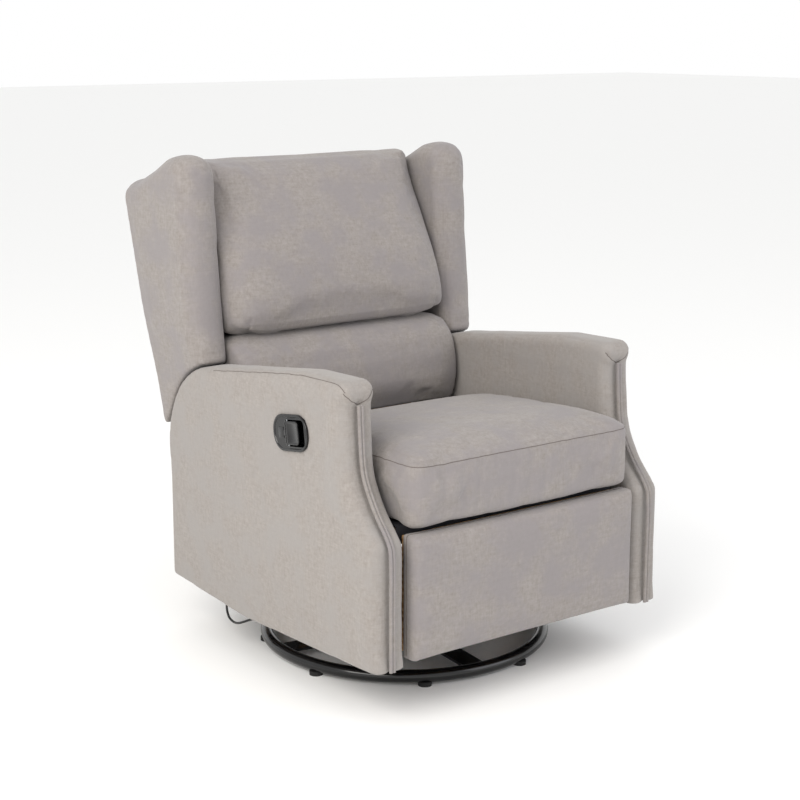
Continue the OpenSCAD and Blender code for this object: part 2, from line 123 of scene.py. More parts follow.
def rolled(points: np.ndarray, line: Outline, middle: float, half: float, depth: float,
           width: float) -> np.ndarray:
    """Rounds off the long edges that lie on each side of a line of the side view.

    Args:
        points: The skin's points in millimetres.
        line: The (y, z) line, drawn so that the solid is on its right.
        middle: Where the solid's middle is along X.
        half: Half the solid's width.
        depth: How far the round reaches into the solid from the line.
        width: How far it reaches in from each side.

    Returns:
        The new points, with each square edge pressed to a quarter of an ellipse.
    """
    chain = smooth_path(line, 10)
    legs = np.gradient(chain, axis=0)
    out = np.stack([-legs[:, 1], legs[:, 0]], axis=1)
    chain = chain + out / np.linalg.norm(out, axis=1)[:, None] * depth
    side = points[:, 1:]
    gap, foot = np.full(len(side), np.inf), np.zeros_like(side)
    for a, b in zip(chain[:-1], chain[1:]):
        leg = b - a
        t = np.clip(((side - a) @ leg) / max(float(leg @ leg), 1e-12), 0, 1)
        near = a + t[:, None] * leg
        far = np.linalg.norm(side - near, axis=1)
        closer = far < gap
        gap[closer], foot[closer] = far[closer], near[closer]
    inward = (side - foot) / np.maximum(gap, 1e-6)[:, None]
    sunk_in = np.clip((2 * depth - gap) / depth, 0, 1)
    from_edge = np.clip((np.abs(points[:, 0] - middle) - (half - width)) / width, 0, 1)
    square = np.maximum(sunk_in, from_edge)
    scale = square / np.maximum(np.hypot(sunk_in, from_edge), 1e-6)
    corner = (sunk_in > 0) & (from_edge > 0)
    move = np.where(corner, sunk_in * (1 - scale) * depth, 0)
    narrow = np.where(corner, from_edge * (1 - scale) * width, 0)
    x = points[:, 0] - np.sign(points[:, 0] - middle) * narrow
    return np.column_stack([x, side + inward * move[:, None]])


def ramp(values: np.ndarray, low: float, high: float) -> np.ndarray:
    """A smooth step from 0 at low to 1 at high."""
    t = np.clip((values - low) / (high - low), 0, 1)
    return t * t * (3 - 2 * t)


# ---------------------------------------------------------------- the bench: modelling by operators

def clear_selection() -> None:
    """Deselects every object, the frame's nodes among them."""
    bpy.ops.object.select_all(action="DESELECT")


def take(piece: bpy.types.Object) -> None:
    """Makes a piece the only one selected, and active.

    Args:
        piece: The piece.
    """
    clear_selection()
    piece.select_set(True)
    bpy.context.view_layer.objects.active = piece


def pick(piece: bpy.types.Object, what: Pick, test: Callable[[Vector, Vector], bool]) -> int:
    """Selects parts of a mesh in edit mode by their place and normal.

    Args:
        piece: The object in edit mode.
        what: Whether points, edges or faces are picked.
        test: Takes a part's middle in metres and its normal, or an edge's direction, and says whether
            to pick it.

    Returns:
        How many parts were picked.
    """
    bpy.ops.mesh.select_mode(type=what.value)
    bpy.ops.mesh.select_all(action="DESELECT")
    mesh = bmesh.from_edit_mesh(piece.data)
    count = 0
    for part in {Pick.POINTS: mesh.verts, Pick.EDGES: mesh.edges, Pick.FACES: mesh.faces}[what]:
        if what is Pick.POINTS:
            middle, way = part.co, part.normal
        elif what is Pick.EDGES:
            middle, way = (part.verts[0].co + part.verts[1].co) / 2, part.verts[1].co - part.verts[0].co
        else:
            middle, way = part.calc_center_median(), part.normal
        if test(middle, way):
            part.select_set(True)
            count += 1
    mesh.select_flush_mode()
    bmesh.update_edit_mesh(piece.data)
    return count


def trace(name: str, points: Iterable[Sequence[float]]) -> bpy.types.Object:
    """A wire drawn point by point.

    Args:
        name: The new object's name.
        points: The wire's points in millimetres.

    Returns:
        The wire, as a mesh without faces, with its object at the origin.
    """
    line = [Vector(p) * MM for p in points]
    clear_selection()
    bpy.ops.mesh.primitive_plane_add(size=MM, location=line[0])
    wire = bpy.context.object
    wire.name = name
    bpy.ops.object.mode_set(mode="EDIT")
    bpy.ops.mesh.select_mode(type="VERT")
    bpy.ops.mesh.merge(type="CENTER")
    for here, there in zip(line, line[1:]):
        bpy.ops.mesh.extrude_region_move(TRANSFORM_OT_translate={"value": tuple(there - here)})
    bpy.ops.object.mode_set(mode="OBJECT")
    bpy.ops.object.transform_apply(location=True, rotation=True, scale=True)
    return wire


def slab(name: str, outline: Outline, low: float, high: float) -> bpy.types.Object:
    """A solid cut to an outline in the side view.

    Args:
        name: The new object's name.
        outline: The side view's (y, z) points in millimetres.
        low: Where the solid starts along X, in millimetres.
        high: Where it ends.

    Returns:
        The closed solid.
    """
    solid = trace(name, [(low, y, z) for y, z in outline])
    bpy.ops.object.mode_set(mode="EDIT")
    bpy.ops.mesh.select_all(action="SELECT")
    bpy.ops.mesh.edge_face_add()
    bpy.ops.mesh.extrude_region_move(TRANSFORM_OT_translate={"value": ((high - low) * MM, 0, 0)})
    bpy.ops.mesh.select_all(action="SELECT")
    bpy.ops.mesh.normals_make_consistent(inside=False)
    bpy.ops.object.mode_set(mode="OBJECT")
    return solid


def round_rim(piece: bpy.types.Object, width: float, segments: int,
              test: Callable[[Vector, Vector], bool]) -> None:
    """Bevels the edges that pass a test.

    Args:
        piece: The solid.
        width: The bevel's width in millimetres.
        segments: How many facets the round has.
        test: Takes an edge's middle and its direction.
    """
    take(piece)
    bpy.ops.object.mode_set(mode="EDIT")
    if pick(piece, Pick.EDGES, test):
        bpy.ops.mesh.bevel(offset=width * MM, segments=segments, affect="EDGES", clamp_overlap=True)
    bpy.ops.object.mode_set(mode="OBJECT")


def finish_with(piece: bpy.types.Object, kind: str, **settings: object) -> None:
    """Adds a modifier and applies it.

    Args:
        piece: The object.
        kind: The modifier's type.
        settings: Its settings.
    """
    take(piece)
    modifier = piece.modifiers.new(kind.lower(), kind)
    for key, value in settings.items():
        setattr(modifier, key, value)
    bpy.ops.object.modifier_apply(modifier=modifier.name)


def even_skin(piece: bpy.types.Object, grain: float) -> None:
    """Gives a solid an even skin of small faces.

    Args:
        piece: The solid.
        grain: The faces' size in millimetres.
    """
    take(piece)
    piece.data.remesh_voxel_size = grain * MM
    piece.data.remesh_voxel_adaptivity = 0
    bpy.ops.object.voxel_remesh()
    finish_with(piece, "SMOOTH", factor=0.5, iterations=4)


def points_of(piece: bpy.types.Object) -> np.ndarray:
    """A piece's points in millimetres, one row each.

    Args:
        piece: The piece.

    Returns:
        The points.
    """
    flat = np.empty(len(piece.data.vertices) * 3)
    piece.data.vertices.foreach_get("co", flat)
    return flat.reshape(-1, 3) / MM


def normals_of(piece: bpy.types.Object) -> np.ndarray:
    """A piece's point normals, one row each.

    Args:
        piece: The piece.

    Returns:
        The normals.
    """
    flat = np.empty(len(piece.data.vertices) * 3)
    piece.data.vertices.foreach_get("normal", flat)
    return flat.reshape(-1, 3)


def set_points(piece: bpy.types.Object, points: np.ndarray) -> None:
    """Moves a piece's points to the places given, in millimetres."""
    piece.data.vertices.foreach_set("co", (points * MM).ravel())
    piece.data.update()


def press(piece: bpy.types.Object, rule: PointRule) -> None:
    """Shapes a soft piece by moving its points.

    Args:
        piece: The piece.
        rule: Takes the points in millimetres and their normals, and returns the new points.
    """
    set_points(piece, rule(points_of(piece), normals_of(piece)))


def cut(piece: bpy.types.Object, tool: bpy.types.Object, operation: str = "DIFFERENCE") -> None:
    """Cuts a piece with a tool, or fuses the two, and removes the tool.

    Args:
        piece: The piece that stays.
        tool: The solid that is taken away or added.
        operation: The boolean modifier's operation.
    """
    finish_with(piece, "BOOLEAN", object=tool, operation=operation, solver="EXACT")
    bpy.data.objects.remove(tool)


def rounded(front: float, rear: float, low: float, high: float, radius: float, steps: int = 6) -> Outline:
    """A rectangle of the side view with round corners.

    Args:
        front: Its lowest Y.
        rear: Its highest Y.
        low: Its lowest Z.
        high: Its highest Z.
        radius: Its corners' radius.
        steps: How many chords each corner has.

    Returns:
        The outline.
    """
    return (arc((front + radius, low + radius), radius, 270, 180, steps)
            + arc((front + radius, high - radius), radius, 180, 90, steps)
            + arc((rear - radius, high - radius), radius, 90, 0, steps)
            + arc((rear - radius, low + radius), radius, 0, -90, steps))


@dataclass(frozen=True)
class Stuffing:
    """How a cover fills out when it is stuffed."""

    pressure: float = 4.0
    swell: float = 22.0
    frames: int = 20
    stiffness: float = 15.0

    def fill(self, piece: bpy.types.Object, low: Sequence[float], high: Sequence[float],
             free: Optional[Callable[[np.ndarray], np.ndarray]] = None) -> None:
        """Blows the cover out by a cloth simulation and applies it.

        Args:
            piece: The closed cover.
            low: The lowest corner that it may reach, in millimetres.
            high: The highest corner.
            free: Takes the points and says from 0 to 1 how freely each one swells. All are free without it.
        """
        before = points_of(piece)
        take(piece)
        cloth = piece.modifiers.new("stuffing", "CLOTH")
        settings = cloth.settings
        settings.quality = 4
        settings.use_pressure = True
        settings.uniform_pressure_force = self.pressure
        settings.tension_stiffness = self.stiffness
        settings.compression_stiffness = self.stiffness
        settings.shear_stiffness = 5.0
        settings.bending_stiffness = 0.5
        settings.effector_weights.gravity = 0
        cloth.collision_settings.use_collision = False
        cloth.point_cache.frame_start = 1
        cloth.point_cache.frame_end = self.frames
        for number in range(1, self.frames + 1):
            bpy.context.scene.frame_set(number)
        bpy.ops.object.modifier_apply(modifier=cloth.name)
        bpy.context.scene.frame_set(1)
        moved = points_of(piece) - before
        reach = np.linalg.norm(moved, axis=1)
        scale = np.minimum(1, self.swell / np.maximum(reach, 1e-6))
        if free is not None:
            scale = scale * free(before)
        set_points(piece, np.clip(before + moved * scale[:, None], low, high))


def cord_along(name: str, path: np.ndarray, radius: float, sides: int = 2) -> bpy.types.Object:
    """A round cord along a path.

    Args:
        name: The new object's name.
        path: The path's points in millimetres.
        radius: The cord's radius in millimetres.
        sides: How finely the cord's quarter turn is divided.

    Returns:
        The cord as a closed mesh.
    """
    cord = trace(name, path)
    take(cord)
    bpy.ops.object.convert(target="CURVE")
    cord.data.bevel_depth = radius * MM
    cord.data.bevel_resolution = sides
    cord.data.use_fill_caps = True
    bpy.ops.object.convert(target="MESH")
    bpy.ops.object.mode_set(mode="EDIT")
    bpy.ops.mesh.select_all(action="SELECT")
    bpy.ops.mesh.normals_make_consistent(inside=False)
    bpy.ops.object.mode_set(mode="OBJECT")
    bpy.ops.object.shade_smooth()
    return cord


def laid_on(piece: bpy.types.Object, path: np.ndarray, lift: float) -> np.ndarray:
    """A path moved onto a piece's surface.

    Args:
        piece: The piece that the path lies on.
        path: Points near its surface, in millimetres.
        lift: How far above the surface the points are set.

    Returns:
        The points on the surface.
    """
    rows = []
    for point in path:
        _, place, normal, _ = piece.closest_point_on_mesh(Vector(point) * MM)
        rows.append(np.asarray(place) / MM + np.asarray(normal) * lift)
    return np.asarray(rows)


def join(pieces: Sequence[bpy.types.Object]) -> bpy.types.Object:
    """Joins pieces into the first of them.

    Args:
        pieces: The objects to join.

    Returns:
        The first object, which holds them all.
    """
    clear_selection()
    for piece in pieces:
        piece.select_set(True)
    bpy.context.view_layer.objects.active = pieces[0]
    bpy.ops.object.join()
    return pieces[0]


def mirrored(piece: bpy.types.Object, name: str) -> bpy.types.Object:
    """A copy with its own mesh, mirrored to the other side of the chair.

    Args:
        piece: The piece to copy.
        name: The copy's name.

    Returns:
        The copy.
    """
    take(piece)
    bpy.ops.object.duplicate(linked=False)
    copy = bpy.context.object
    copy.name = name
    bpy.ops.object.mode_set(mode="EDIT")
    bpy.ops.mesh.select_all(action="SELECT")
    bpy.ops.transform.mirror(constraint_axis=(True, False, False), center_override=(0, 0, 0))
    bpy.ops.mesh.normals_make_consistent(inside=False)
    bpy.ops.object.mode_set(mode="OBJECT")
    return copy


# ---------------------------------------------------------------- finishes

def linear(colour: str) -> tuple[float, float, float, float]:
    """An sRGB hex colour as linear red, green, blue and an alpha of 1.

    Args:
        colour: The colour, as a hash sign and six hex digits.

    Returns:
        The four numbers, as a colour socket takes them.
    """
    parts = [int(colour[i:i + 2], 16) / 255 for i in (1, 3, 5)]
    line = [c / 12.92 if c <= 0.04045 else ((c + 0.055) / 1.055) ** 2.4 for c in parts]
    return (line[0], line[1], line[2], 1.0)


def add_node(tree: bpy.types.NodeTree, kind: str, settings: Optional[dict] = None,
             links: Optional[dict] = None) -> bpy.types.Node:
    """Adds a node with its settings and links.

    Args:
        tree: The node tree.
        kind: The node's type, without the prefix ShaderNode.
        settings: Values by name, of the node itself or of its input sockets; a number names a socket by
            its place.
        links: Output sockets by the input socket that each one feeds.

    Returns:
        The node.
    """
    node = tree.nodes.new("ShaderNode" + kind)
    for key, value in (settings or {}).items():
        if isinstance(key, str) and hasattr(node, key):
            setattr(node, key, value)
        else:
            node.inputs[key].default_value = value
    for key, socket in (links or {}).items():
        tree.links.new(socket, node.inputs[key])
    return node


@dataclass(frozen=True)
class Finish:
    """What every finish has: a name, a tone, and a shader to start from."""

    name: str
    tone: str

    def start(self) -> tuple[bpy.types.Material, bpy.types.NodeTree, bpy.types.Node, bpy.types.NodeSocket]:
        """Makes the empty material.

        Returns:
            The material, its tree, its shader and the place on the object that patterns read.
        """
        material = bpy.data.materials.new(self.name)
        material.use_nodes = True
        tree = material.node_tree
        tree.nodes.clear()
        shader = add_node(tree, "BsdfPrincipled", {"Base Color": linear(self.tone)})
        add_node(tree, "OutputMaterial", links={"Surface": shader.outputs["BSDF"]})
        place = add_node(tree, "TexCoord").outputs["Object"]
        return material, tree, shader, place

    def make(self) -> bpy.types.Material:
        """Makes the material. Each finish has its own way."""
        raise NotImplementedError


@dataclass(frozen=True)
class BrushedWeave(Finish):
    """Polyester linen weave, brushed to a nap: cloudy mottling, slubs along the thread, a dull sheen."""

    shade: str = "#7a736e"
    cool: str = "#817c7d"
    thread_mm: float = 1.3
    slub_mm: float = 3.2
    slub_run_mm: float = 26.0
    cloud_mm: float = 70.0
    mottle_mm: float = 9.0

    def make(self) -> bpy.types.Material:
        """Makes the material: slubs run up upright faces and from front to back on flat ones.

        Returns:
            The material.
        """
        material, tree, shader, place = self.start()
        across, along = 1 / (self.slub_mm * MM), 1 / (self.slub_run_mm * MM)
        upright = add_node(tree, "Mapping", {"Scale": (across, across, along)}, {"Vector": place})
        level = add_node(tree, "Mapping", {"Scale": (along, along, across)}, {"Vector": place})
        rise = add_node(tree, "TexNoise", {"Scale": 1.0, "Detail": 3.0, "Roughness": 0.6},
                        {"Vector": upright.outputs["Vector"]})
        weft = add_node(tree, "TexNoise", {"Scale": 1.0, "Detail": 3.0, "Roughness": 0.6},
                        {"Vector": level.outputs["Vector"]})
        cloud = add_node(tree, "TexNoise", {"Scale": 1 / (self.cloud_mm * MM), "Detail": 5.0,
                                            "Roughness": 0.6}, {"Vector": place})
        mottle = add_node(tree, "TexNoise", {"Scale": 1 / (self.mottle_mm * MM), "Detail": 4.0,
                                             "Roughness": 0.7}, {"Vector": place})
        slubs = add_node(tree, "Math", {"operation": "ADD"},
                         {0: rise.outputs["Fac"], 1: weft.outputs["Fac"]})
        fine = add_node(tree, "Math", {"operation": "MULTIPLY_ADD", 1: 0.5},
                        {0: slubs.outputs["Value"], 2: mottle.outputs["Fac"]})
        fade = add_node(tree, "MapRange", {"From Min": 0.64, "From Max": 1.36},
                        {"Value": fine.outputs["Value"]})
        cloth = add_node(tree, "Mix", {"data_type": "RGBA", 6: linear(self.shade), 7: linear(self.tone)},
                         {0: fade.outputs["Result"]})
        drift = add_node(tree, "MapRange", {"From Min": 0.42, "From Max": 0.62, "To Max": 0.75},
                         {"Value": cloud.outputs["Fac"]})
        colour = add_node(tree, "Mix", {"data_type": "RGBA", 7: linear(self.cool)},
                          {0: drift.outputs["Result"], 6: cloth.outputs[2]})
        tree.links.new(colour.outputs[2], shader.inputs["Base Color"])
        thread = 1 / (self.thread_mm * MM)
        warp = add_node(tree, "Mapping", {"Scale": (thread, thread, thread / 4)}, {"Vector": place})
        pile = add_node(tree, "TexNoise", {"Scale": 1.0, "Detail": 2.0}, {"Vector": warp.outputs["Vector"]})
        relief = add_node(tree, "Math", {"operation": "MULTIPLY_ADD", 1: 0.6},
                          {0: fine.outputs["Value"], 2: pile.outputs["Fac"]})
        bump = add_node(tree, "Bump", {"Strength": 0.35, "Distance": 0.0006},
                        {"Height": relief.outputs["Value"]})
        tree.links.new(bump.outputs["Normal"], shader.inputs["Normal"])
        nap = add_node(tree, "MapRange", {"To Min": 0.82, "To Max": 0.95}, {"Value": mottle.outputs["Fac"]})
        tree.links.new(nap.outputs["Result"], shader.inputs["Roughness"])
        shader.inputs["Sheen Weight"].default_value = 0.18
        shader.inputs["Sheen Roughness"].default_value = 0.55
        shader.inputs["Specular IOR Level"].default_value = 0.25
        return material


@dataclass(frozen=True)
class SeamShadeThread(Finish):
    """Twisted polyester thread sunk in a seam, ridged along its run; its dark colour is painted shade for the
    seam's crease.
    """

    twist_mm: float = 1.6

    def make(self) -> bpy.types.Material:
        """Makes the material.

        Returns:
            The material.
        """
        material, tree, shader, place = self.start()
        twist = add_node(tree, "TexWave", {"Scale": 1 / (self.twist_mm * MM * 20), "Distortion": 1.0,
                                           "bands_direction": "DIAGONAL"}, {"Vector": place})
        bump = add_node(tree, "Bump", {"Strength": 0.3, "Distance": 0.0003}, {"Height": twist.outputs["Fac"]})
        tree.links.new(bump.outputs["Normal"], shader.inputs["Normal"])
        shader.inputs["Roughness"].default_value = 0.85
        shader.inputs["Sheen Weight"].default_value = 0.1
        return material


@dataclass(frozen=True)
class BakedCoat(Finish):
    """Paint baked on steel: an even dark skin with a faint ripple, dusty and a little dull in places."""

    roughness: float = 0.25
    ripple_mm: float = 6.0
    dust: str = "#3a3a3c"
    relief: float = 0.15

    def make(self) -> bpy.types.Material:
        """Makes the material.

        Returns:
            The material.
        """
        material, tree, shader, place = self.start()
        ripple = add_node(tree, "TexNoise", {"Scale": 1 / (self.ripple_mm * MM), "Detail": 3.0},
                          {"Vector": place})
        film = add_node(tree, "TexNoise", {"Scale": 1 / (45 * MM), "Detail": 4.0}, {"Vector": place})
        haze = add_node(tree, "MapRange", {"From Min": 0.5, "From Max": 0.8, "To Max": 0.25},
                        {"Value": film.outputs["Fac"]})
        colour = add_node(tree, "Mix", {"data_type": "RGBA", 6: linear(self.tone), 7: linear(self.dust)},
                          {0: haze.outputs["Result"]})
        tree.links.new(colour.outputs[2], shader.inputs["Base Color"])
        dull = add_node(tree, "MapRange", {"To Min": self.roughness * 0.8, "To Max": self.roughness * 1.3},
                        {"Value": film.outputs["Fac"]})
        tree.links.new(dull.outputs["Result"], shader.inputs["Roughness"])
        bump = add_node(tree, "Bump", {"Strength": self.relief, "Distance": 0.0004},
                        {"Height": ripple.outputs["Fac"]})
        tree.links.new(bump.outputs["Normal"], shader.inputs["Normal"])
        return material


@dataclass(frozen=True)
class PlatedSteel(Finish):
    """Zinc-plated or oiled steel: a cloudy grey metal with fine drawn lines."""

    spot: str = "#8b8d90"
    roughness: float = 0.38

    def make(self) -> bpy.types.Material:
        """Makes the material.

        Returns:
            The material.
        """
        material, tree, shader, place = self.start()
        spots = add_node(tree, "TexNoise", {"Scale": 1 / (5 * MM), "Detail": 4.0}, {"Vector": place})
        colour = add_node(tree, "Mix", {"data_type": "RGBA", 6: linear(self.tone), 7: linear(self.spot)},
                          {0: spots.outputs["Fac"]})
        tree.links.new(colour.outputs[2], shader.inputs["Base Color"])
        drawn = add_node(tree, "Mapping", {"Scale": (60.0, 1500.0, 1500.0)}, {"Vector": place})
        lines = add_node(tree, "TexNoise", {"Scale": 1.0, "Detail": 2.0}, {"Vector": drawn.outputs["Vector"]})
        bump = add_node(tree, "Bump", {"Strength": 0.15, "Distance": 0.0002},
                        {"Height": lines.outputs["Fac"]})
        tree.links.new(bump.outputs["Normal"], shader.inputs["Normal"])
        dull = add_node(tree, "MapRange", {"To Min": self.roughness * 0.8, "To Max": self.roughness * 1.3},
                        {"Value": spots.outputs["Fac"]})
        tree.links.new(dull.outputs["Result"], shader.inputs["Roughness"])
        shader.inputs["Metallic"].default_value = 1.0
        return material


@dataclass(frozen=True)
class SawnSoftwood(Finish):
    """Planed pine for the frame: growth rings that run along the board, warm and dry."""

    ring: str = "#a97b4c"
    ring_mm: float = 7.0

    def make(self) -> bpy.types.Material:
        """Makes the material.

        Returns:
            The material.
        """
        material, tree, shader, place = self.start()
        board = add_node(tree, "Mapping", {"Scale": (2.0, 22.0, 22.0)}, {"Vector": place})
        rings = add_node(tree, "TexWave", {"Scale": 7.0 / self.ring_mm, "Distortion": 7.0, "Detail": 3.0,
                                           "bands_direction": "Z"}, {"Vector": board.outputs["Vector"]})
        colour = add_node(tree, "Mix", {"data_type": "RGBA", 6: linear(self.tone), 7: linear(self.ring)},
                          {0: rings.outputs["Fac"]})
        tree.links.new(colour.outputs[2], shader.inputs["Base Color"])
        bump = add_node(tree, "Bump", {"Strength": 0.2, "Distance": 0.0004}, {"Height": rings.outputs["Fac"]})
        tree.links.new(bump.outputs["Normal"], shader.inputs["Normal"])
        shader.inputs["Roughness"].default_value = 0.62
        return material


@dataclass(frozen=True)
class Moulded(Finish):
    """Moulded ABS, rubber or vinyl: one colour through, with the mould's fine grain."""

    roughness: float = 0.3
    grain_mm: float = 1.2
    relief: float = 0.1
    wear: str = "#2b2b2b"

    def make(self) -> bpy.types.Material:
        """Makes the material.

        Returns:
            The material.
        """
        material, tree, shader, place = self.start()
        grain = add_node(tree, "TexNoise", {"Scale": 1 / (self.grain_mm * MM), "Detail": 2.0},
                         {"Vector": place})
        rub = add_node(tree, "TexNoise", {"Scale": 1 / (18 * MM), "Detail": 3.0}, {"Vector": place})
        worn = add_node(tree, "MapRange", {"From Min": 0.5, "From Max": 0.75, "To Max": 0.35},
                        {"Value": rub.outputs["Fac"]})
        colour = add_node(tree, "Mix", {"data_type": "RGBA", 6: linear(self.tone), 7: linear(self.wear)},
                          {0: worn.outputs["Result"]})
        tree.links.new(colour.outputs[2], shader.inputs["Base Color"])
        dull = add_node(tree, "MapRange", {"To Min": self.roughness * 0.85, "To Max": self.roughness * 1.25},
                        {"Value": rub.outputs["Fac"]})
        tree.links.new(dull.outputs["Result"], shader.inputs["Roughness"])
        bump = add_node(tree, "Bump", {"Strength": self.relief, "Distance": 0.0003},
                        {"Height": grain.outputs["Fac"]})
        tree.links.new(bump.outputs["Normal"], shader.inputs["Normal"])
        return material


@dataclass(frozen=True)
class SpunCloth(Finish):
    """Spun-bonded polypropylene for the deck: black, with a grid of pressed dimples."""

    dimple_mm: float = 2.4
    light: str = "#34343a"

    def make(self) -> bpy.types.Material:
        """Makes the material.

        Returns:
            The material.
        """
        material, tree, shader, place = self.start()
        dimples = add_node(tree, "TexVoronoi", {"Scale": 1 / (self.dimple_mm * MM), "Randomness": 0.2},
                           {"Vector": place})
        colour = add_node(tree, "Mix", {"data_type": "RGBA", 6: linear(self.light), 7: linear(self.tone)},
                          {0: dimples.outputs["Distance"]})
        tree.links.new(colour.outputs[2], shader.inputs["Base Color"])
        bump = add_node(tree, "Bump", {"Strength": 0.4, "Distance": 0.0005},
                        {"Height": dimples.outputs["Distance"]})
        tree.links.new(bump.outputs["Normal"], shader.inputs["Normal"])
        shader.inputs["Roughness"].default_value = 0.9
        return material


@dataclass
class Wardrobe:
    """Every finish on the chair, made once."""

    cover: bpy.types.Material = field(init=False)
    # The cover fabric made lighter and warmer: painted light for faces lit by the key light.
    side_cover: bpy.types.Material = field(init=False)
    thread: bpy.types.Material = field(init=False)
    enamel: bpy.types.Material = field(init=False)
    powder: bpy.types.Material = field(init=False)
    zinc: bpy.types.Material = field(init=False)
    spring: bpy.types.Material = field(init=False)
    wood: bpy.types.Material = field(init=False)
    rubber: bpy.types.Material = field(init=False)
    abs_black: bpy.types.Material = field(init=False)
    sheath: bpy.types.Material = field(init=False)
    deck: bpy.types.Material = field(init=False)

    def __post_init__(self) -> None:
        """Makes the materials."""
        self.cover = BrushedWeave("brushed_linen_weave", "#938e8b").make()
        # Painted light: the cover fabric made lighter and warmer, as if lit by the warm key light from the
        # left; the arms and the rear panels wear it.
        self.side_cover = BrushedWeave("brushed_linen_weave_painted_lit", "#98938e", shade="#807974",
                                       cool="#8d8986").make()
        # Painted shade: the thread is much darker than the cover, so that it draws the shade in each seam and
        # fold.
        self.thread = SeamShadeThread("polyester_seam_thread", "#59504b").make()
        self.enamel = BakedCoat("gloss_black_enamel", "#0b0b0c", roughness=0.16, dust="#242427").make()
        self.powder = BakedCoat("black_powder_coat", "#141415", roughness=0.5, ripple_mm=1.6,
                                relief=0.4).make()
        self.zinc = PlatedSteel("zinc_plated_steel", "#b9bcc0").make()
        self.spring = PlatedSteel("oiled_spring_steel", "#6b6a68", spot="#4c4a48", roughness=0.45).make()
        self.wood = SawnSoftwood("planed_pine", "#c9a375").make()
        self.rubber = Moulded("moulded_black_rubber", "#101010", roughness=0.75, relief=0.3).make()
        self.abs_black = Moulded("moulded_black_abs", "#0d0d0e", roughness=0.2, wear="#1b1b1c").make()
        self.sheath = Moulded("black_vinyl_sheath", "#121212", roughness=0.4, wear="#202022").make()
        self.deck = SpunCloth("spun_black_deck_cloth", "#17171a").make()


def dress(piece: bpy.types.Object, *materials: bpy.types.Material) -> None:
    """Gives a piece its materials, in the order of its slots."""
    piece.data.materials.clear()
    for material in materials:
        piece.data.materials.append(material)


def dress_node(node: str, material: bpy.types.Material) -> None:
    """Gives one of the frame's nodes a material in each of its slots."""
    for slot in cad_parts[node].material_slots:
        slot.material = material


# ---------------------------------------------------------------- shared lines of the chair

RECLINE = (115.0, 404.0)
BACK_FOOT = (329.0, 444.0)
BACK_LEAN = math.radians(15.4)
BACK_UP = (math.sin(BACK_LEAN), math.cos(BACK_LEAN))
BACK_OUT = (math.cos(BACK_LEAN), -math.sin(BACK_LEAN))


def on_back(along: float, out: float) -> tuple[float, float]:
    """The (y, z) place that is along the leaning back from its foot, and out to the rear of it."""
    return (BACK_FOOT[0] + along * BACK_UP[0] + out * BACK_OUT[0],
            BACK_FOOT[1] + along * BACK_UP[1] + out * BACK_OUT[1])


# ---------------------------------------------------------------- upholstery

@dataclass
class SoftPiece:
    """What every stuffed piece of upholstery has: its node, its body and its finish."""

    cover: bpy.types.Material
    thread: bpy.types.Material
    grain: float = 7.0

    def sew(self, piece: bpy.types.Object, lines: Sequence[np.ndarray],
            radius: float = 0.9) -> bpy.types.Object:
        """Lays seam thread along lines on a piece, and joins it to the piece.

        Args:
            piece: The finished cover.
            lines: The seams' points near the surface, in millimetres.
            radius: The thread's radius in millimetres.

        Returns:
            The piece with its seams.
        """
        dress(piece, self.cover, self.thread)
        threads = []
        for number, line in enumerate(lines):
            thread = cord_along(f"seam_{number}", laid_on(piece, line, 0.0), radius, 1)
            dress(thread, self.thread)
            threads.append(thread)
        return join([piece, *threads]) if threads else piece

    def soften(self, piece: bpy.types.Object) -> None:
        """Divides the skin once more and shades it smooth.

        Args:
            piece: The piece.
        """
        finish_with(piece, "SUBSURF", levels=1, render_levels=1)
        take(piece)
        bpy.ops.object.shade_smooth()

    def settle(self, piece: bpy.types.Object, body: str, nodes: Sequence[str], fill: float,
               slot: str = "cover_fabric") -> None:
        """Puts a piece on its body in place of its nodes.

        Args:
            piece: The finished piece.
            body: The body that it rides on.
            nodes: The frame's nodes that it stands for.
            fill: How tightly it is stuffed, from 0 to 1. Not used.
            slot: The record's material slot. Not used.
        """
        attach(piece, body)
        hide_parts(*nodes)
        LOG.info("%s: %d faces on %s", piece.name, len(piece.data.polygons), body)


def sunk(points: np.ndarray, normals: np.ndarray, path: np.ndarray, width: float, depth: float) -> np.ndarray:
    """Sinks a groove along a path.

    Args:
        points: The skin's points in millimetres.
        normals: Their normals.
        path: The groove's line in millimetres.
        width: The distance at which the groove has mostly faded out.
        depth: How deep it is in the middle.

    Returns:
        The new points.
    """
    fall = np.exp(-(path_distance(points, path) / width) ** 2)
    return points - normals * (depth * fall)[:, None]


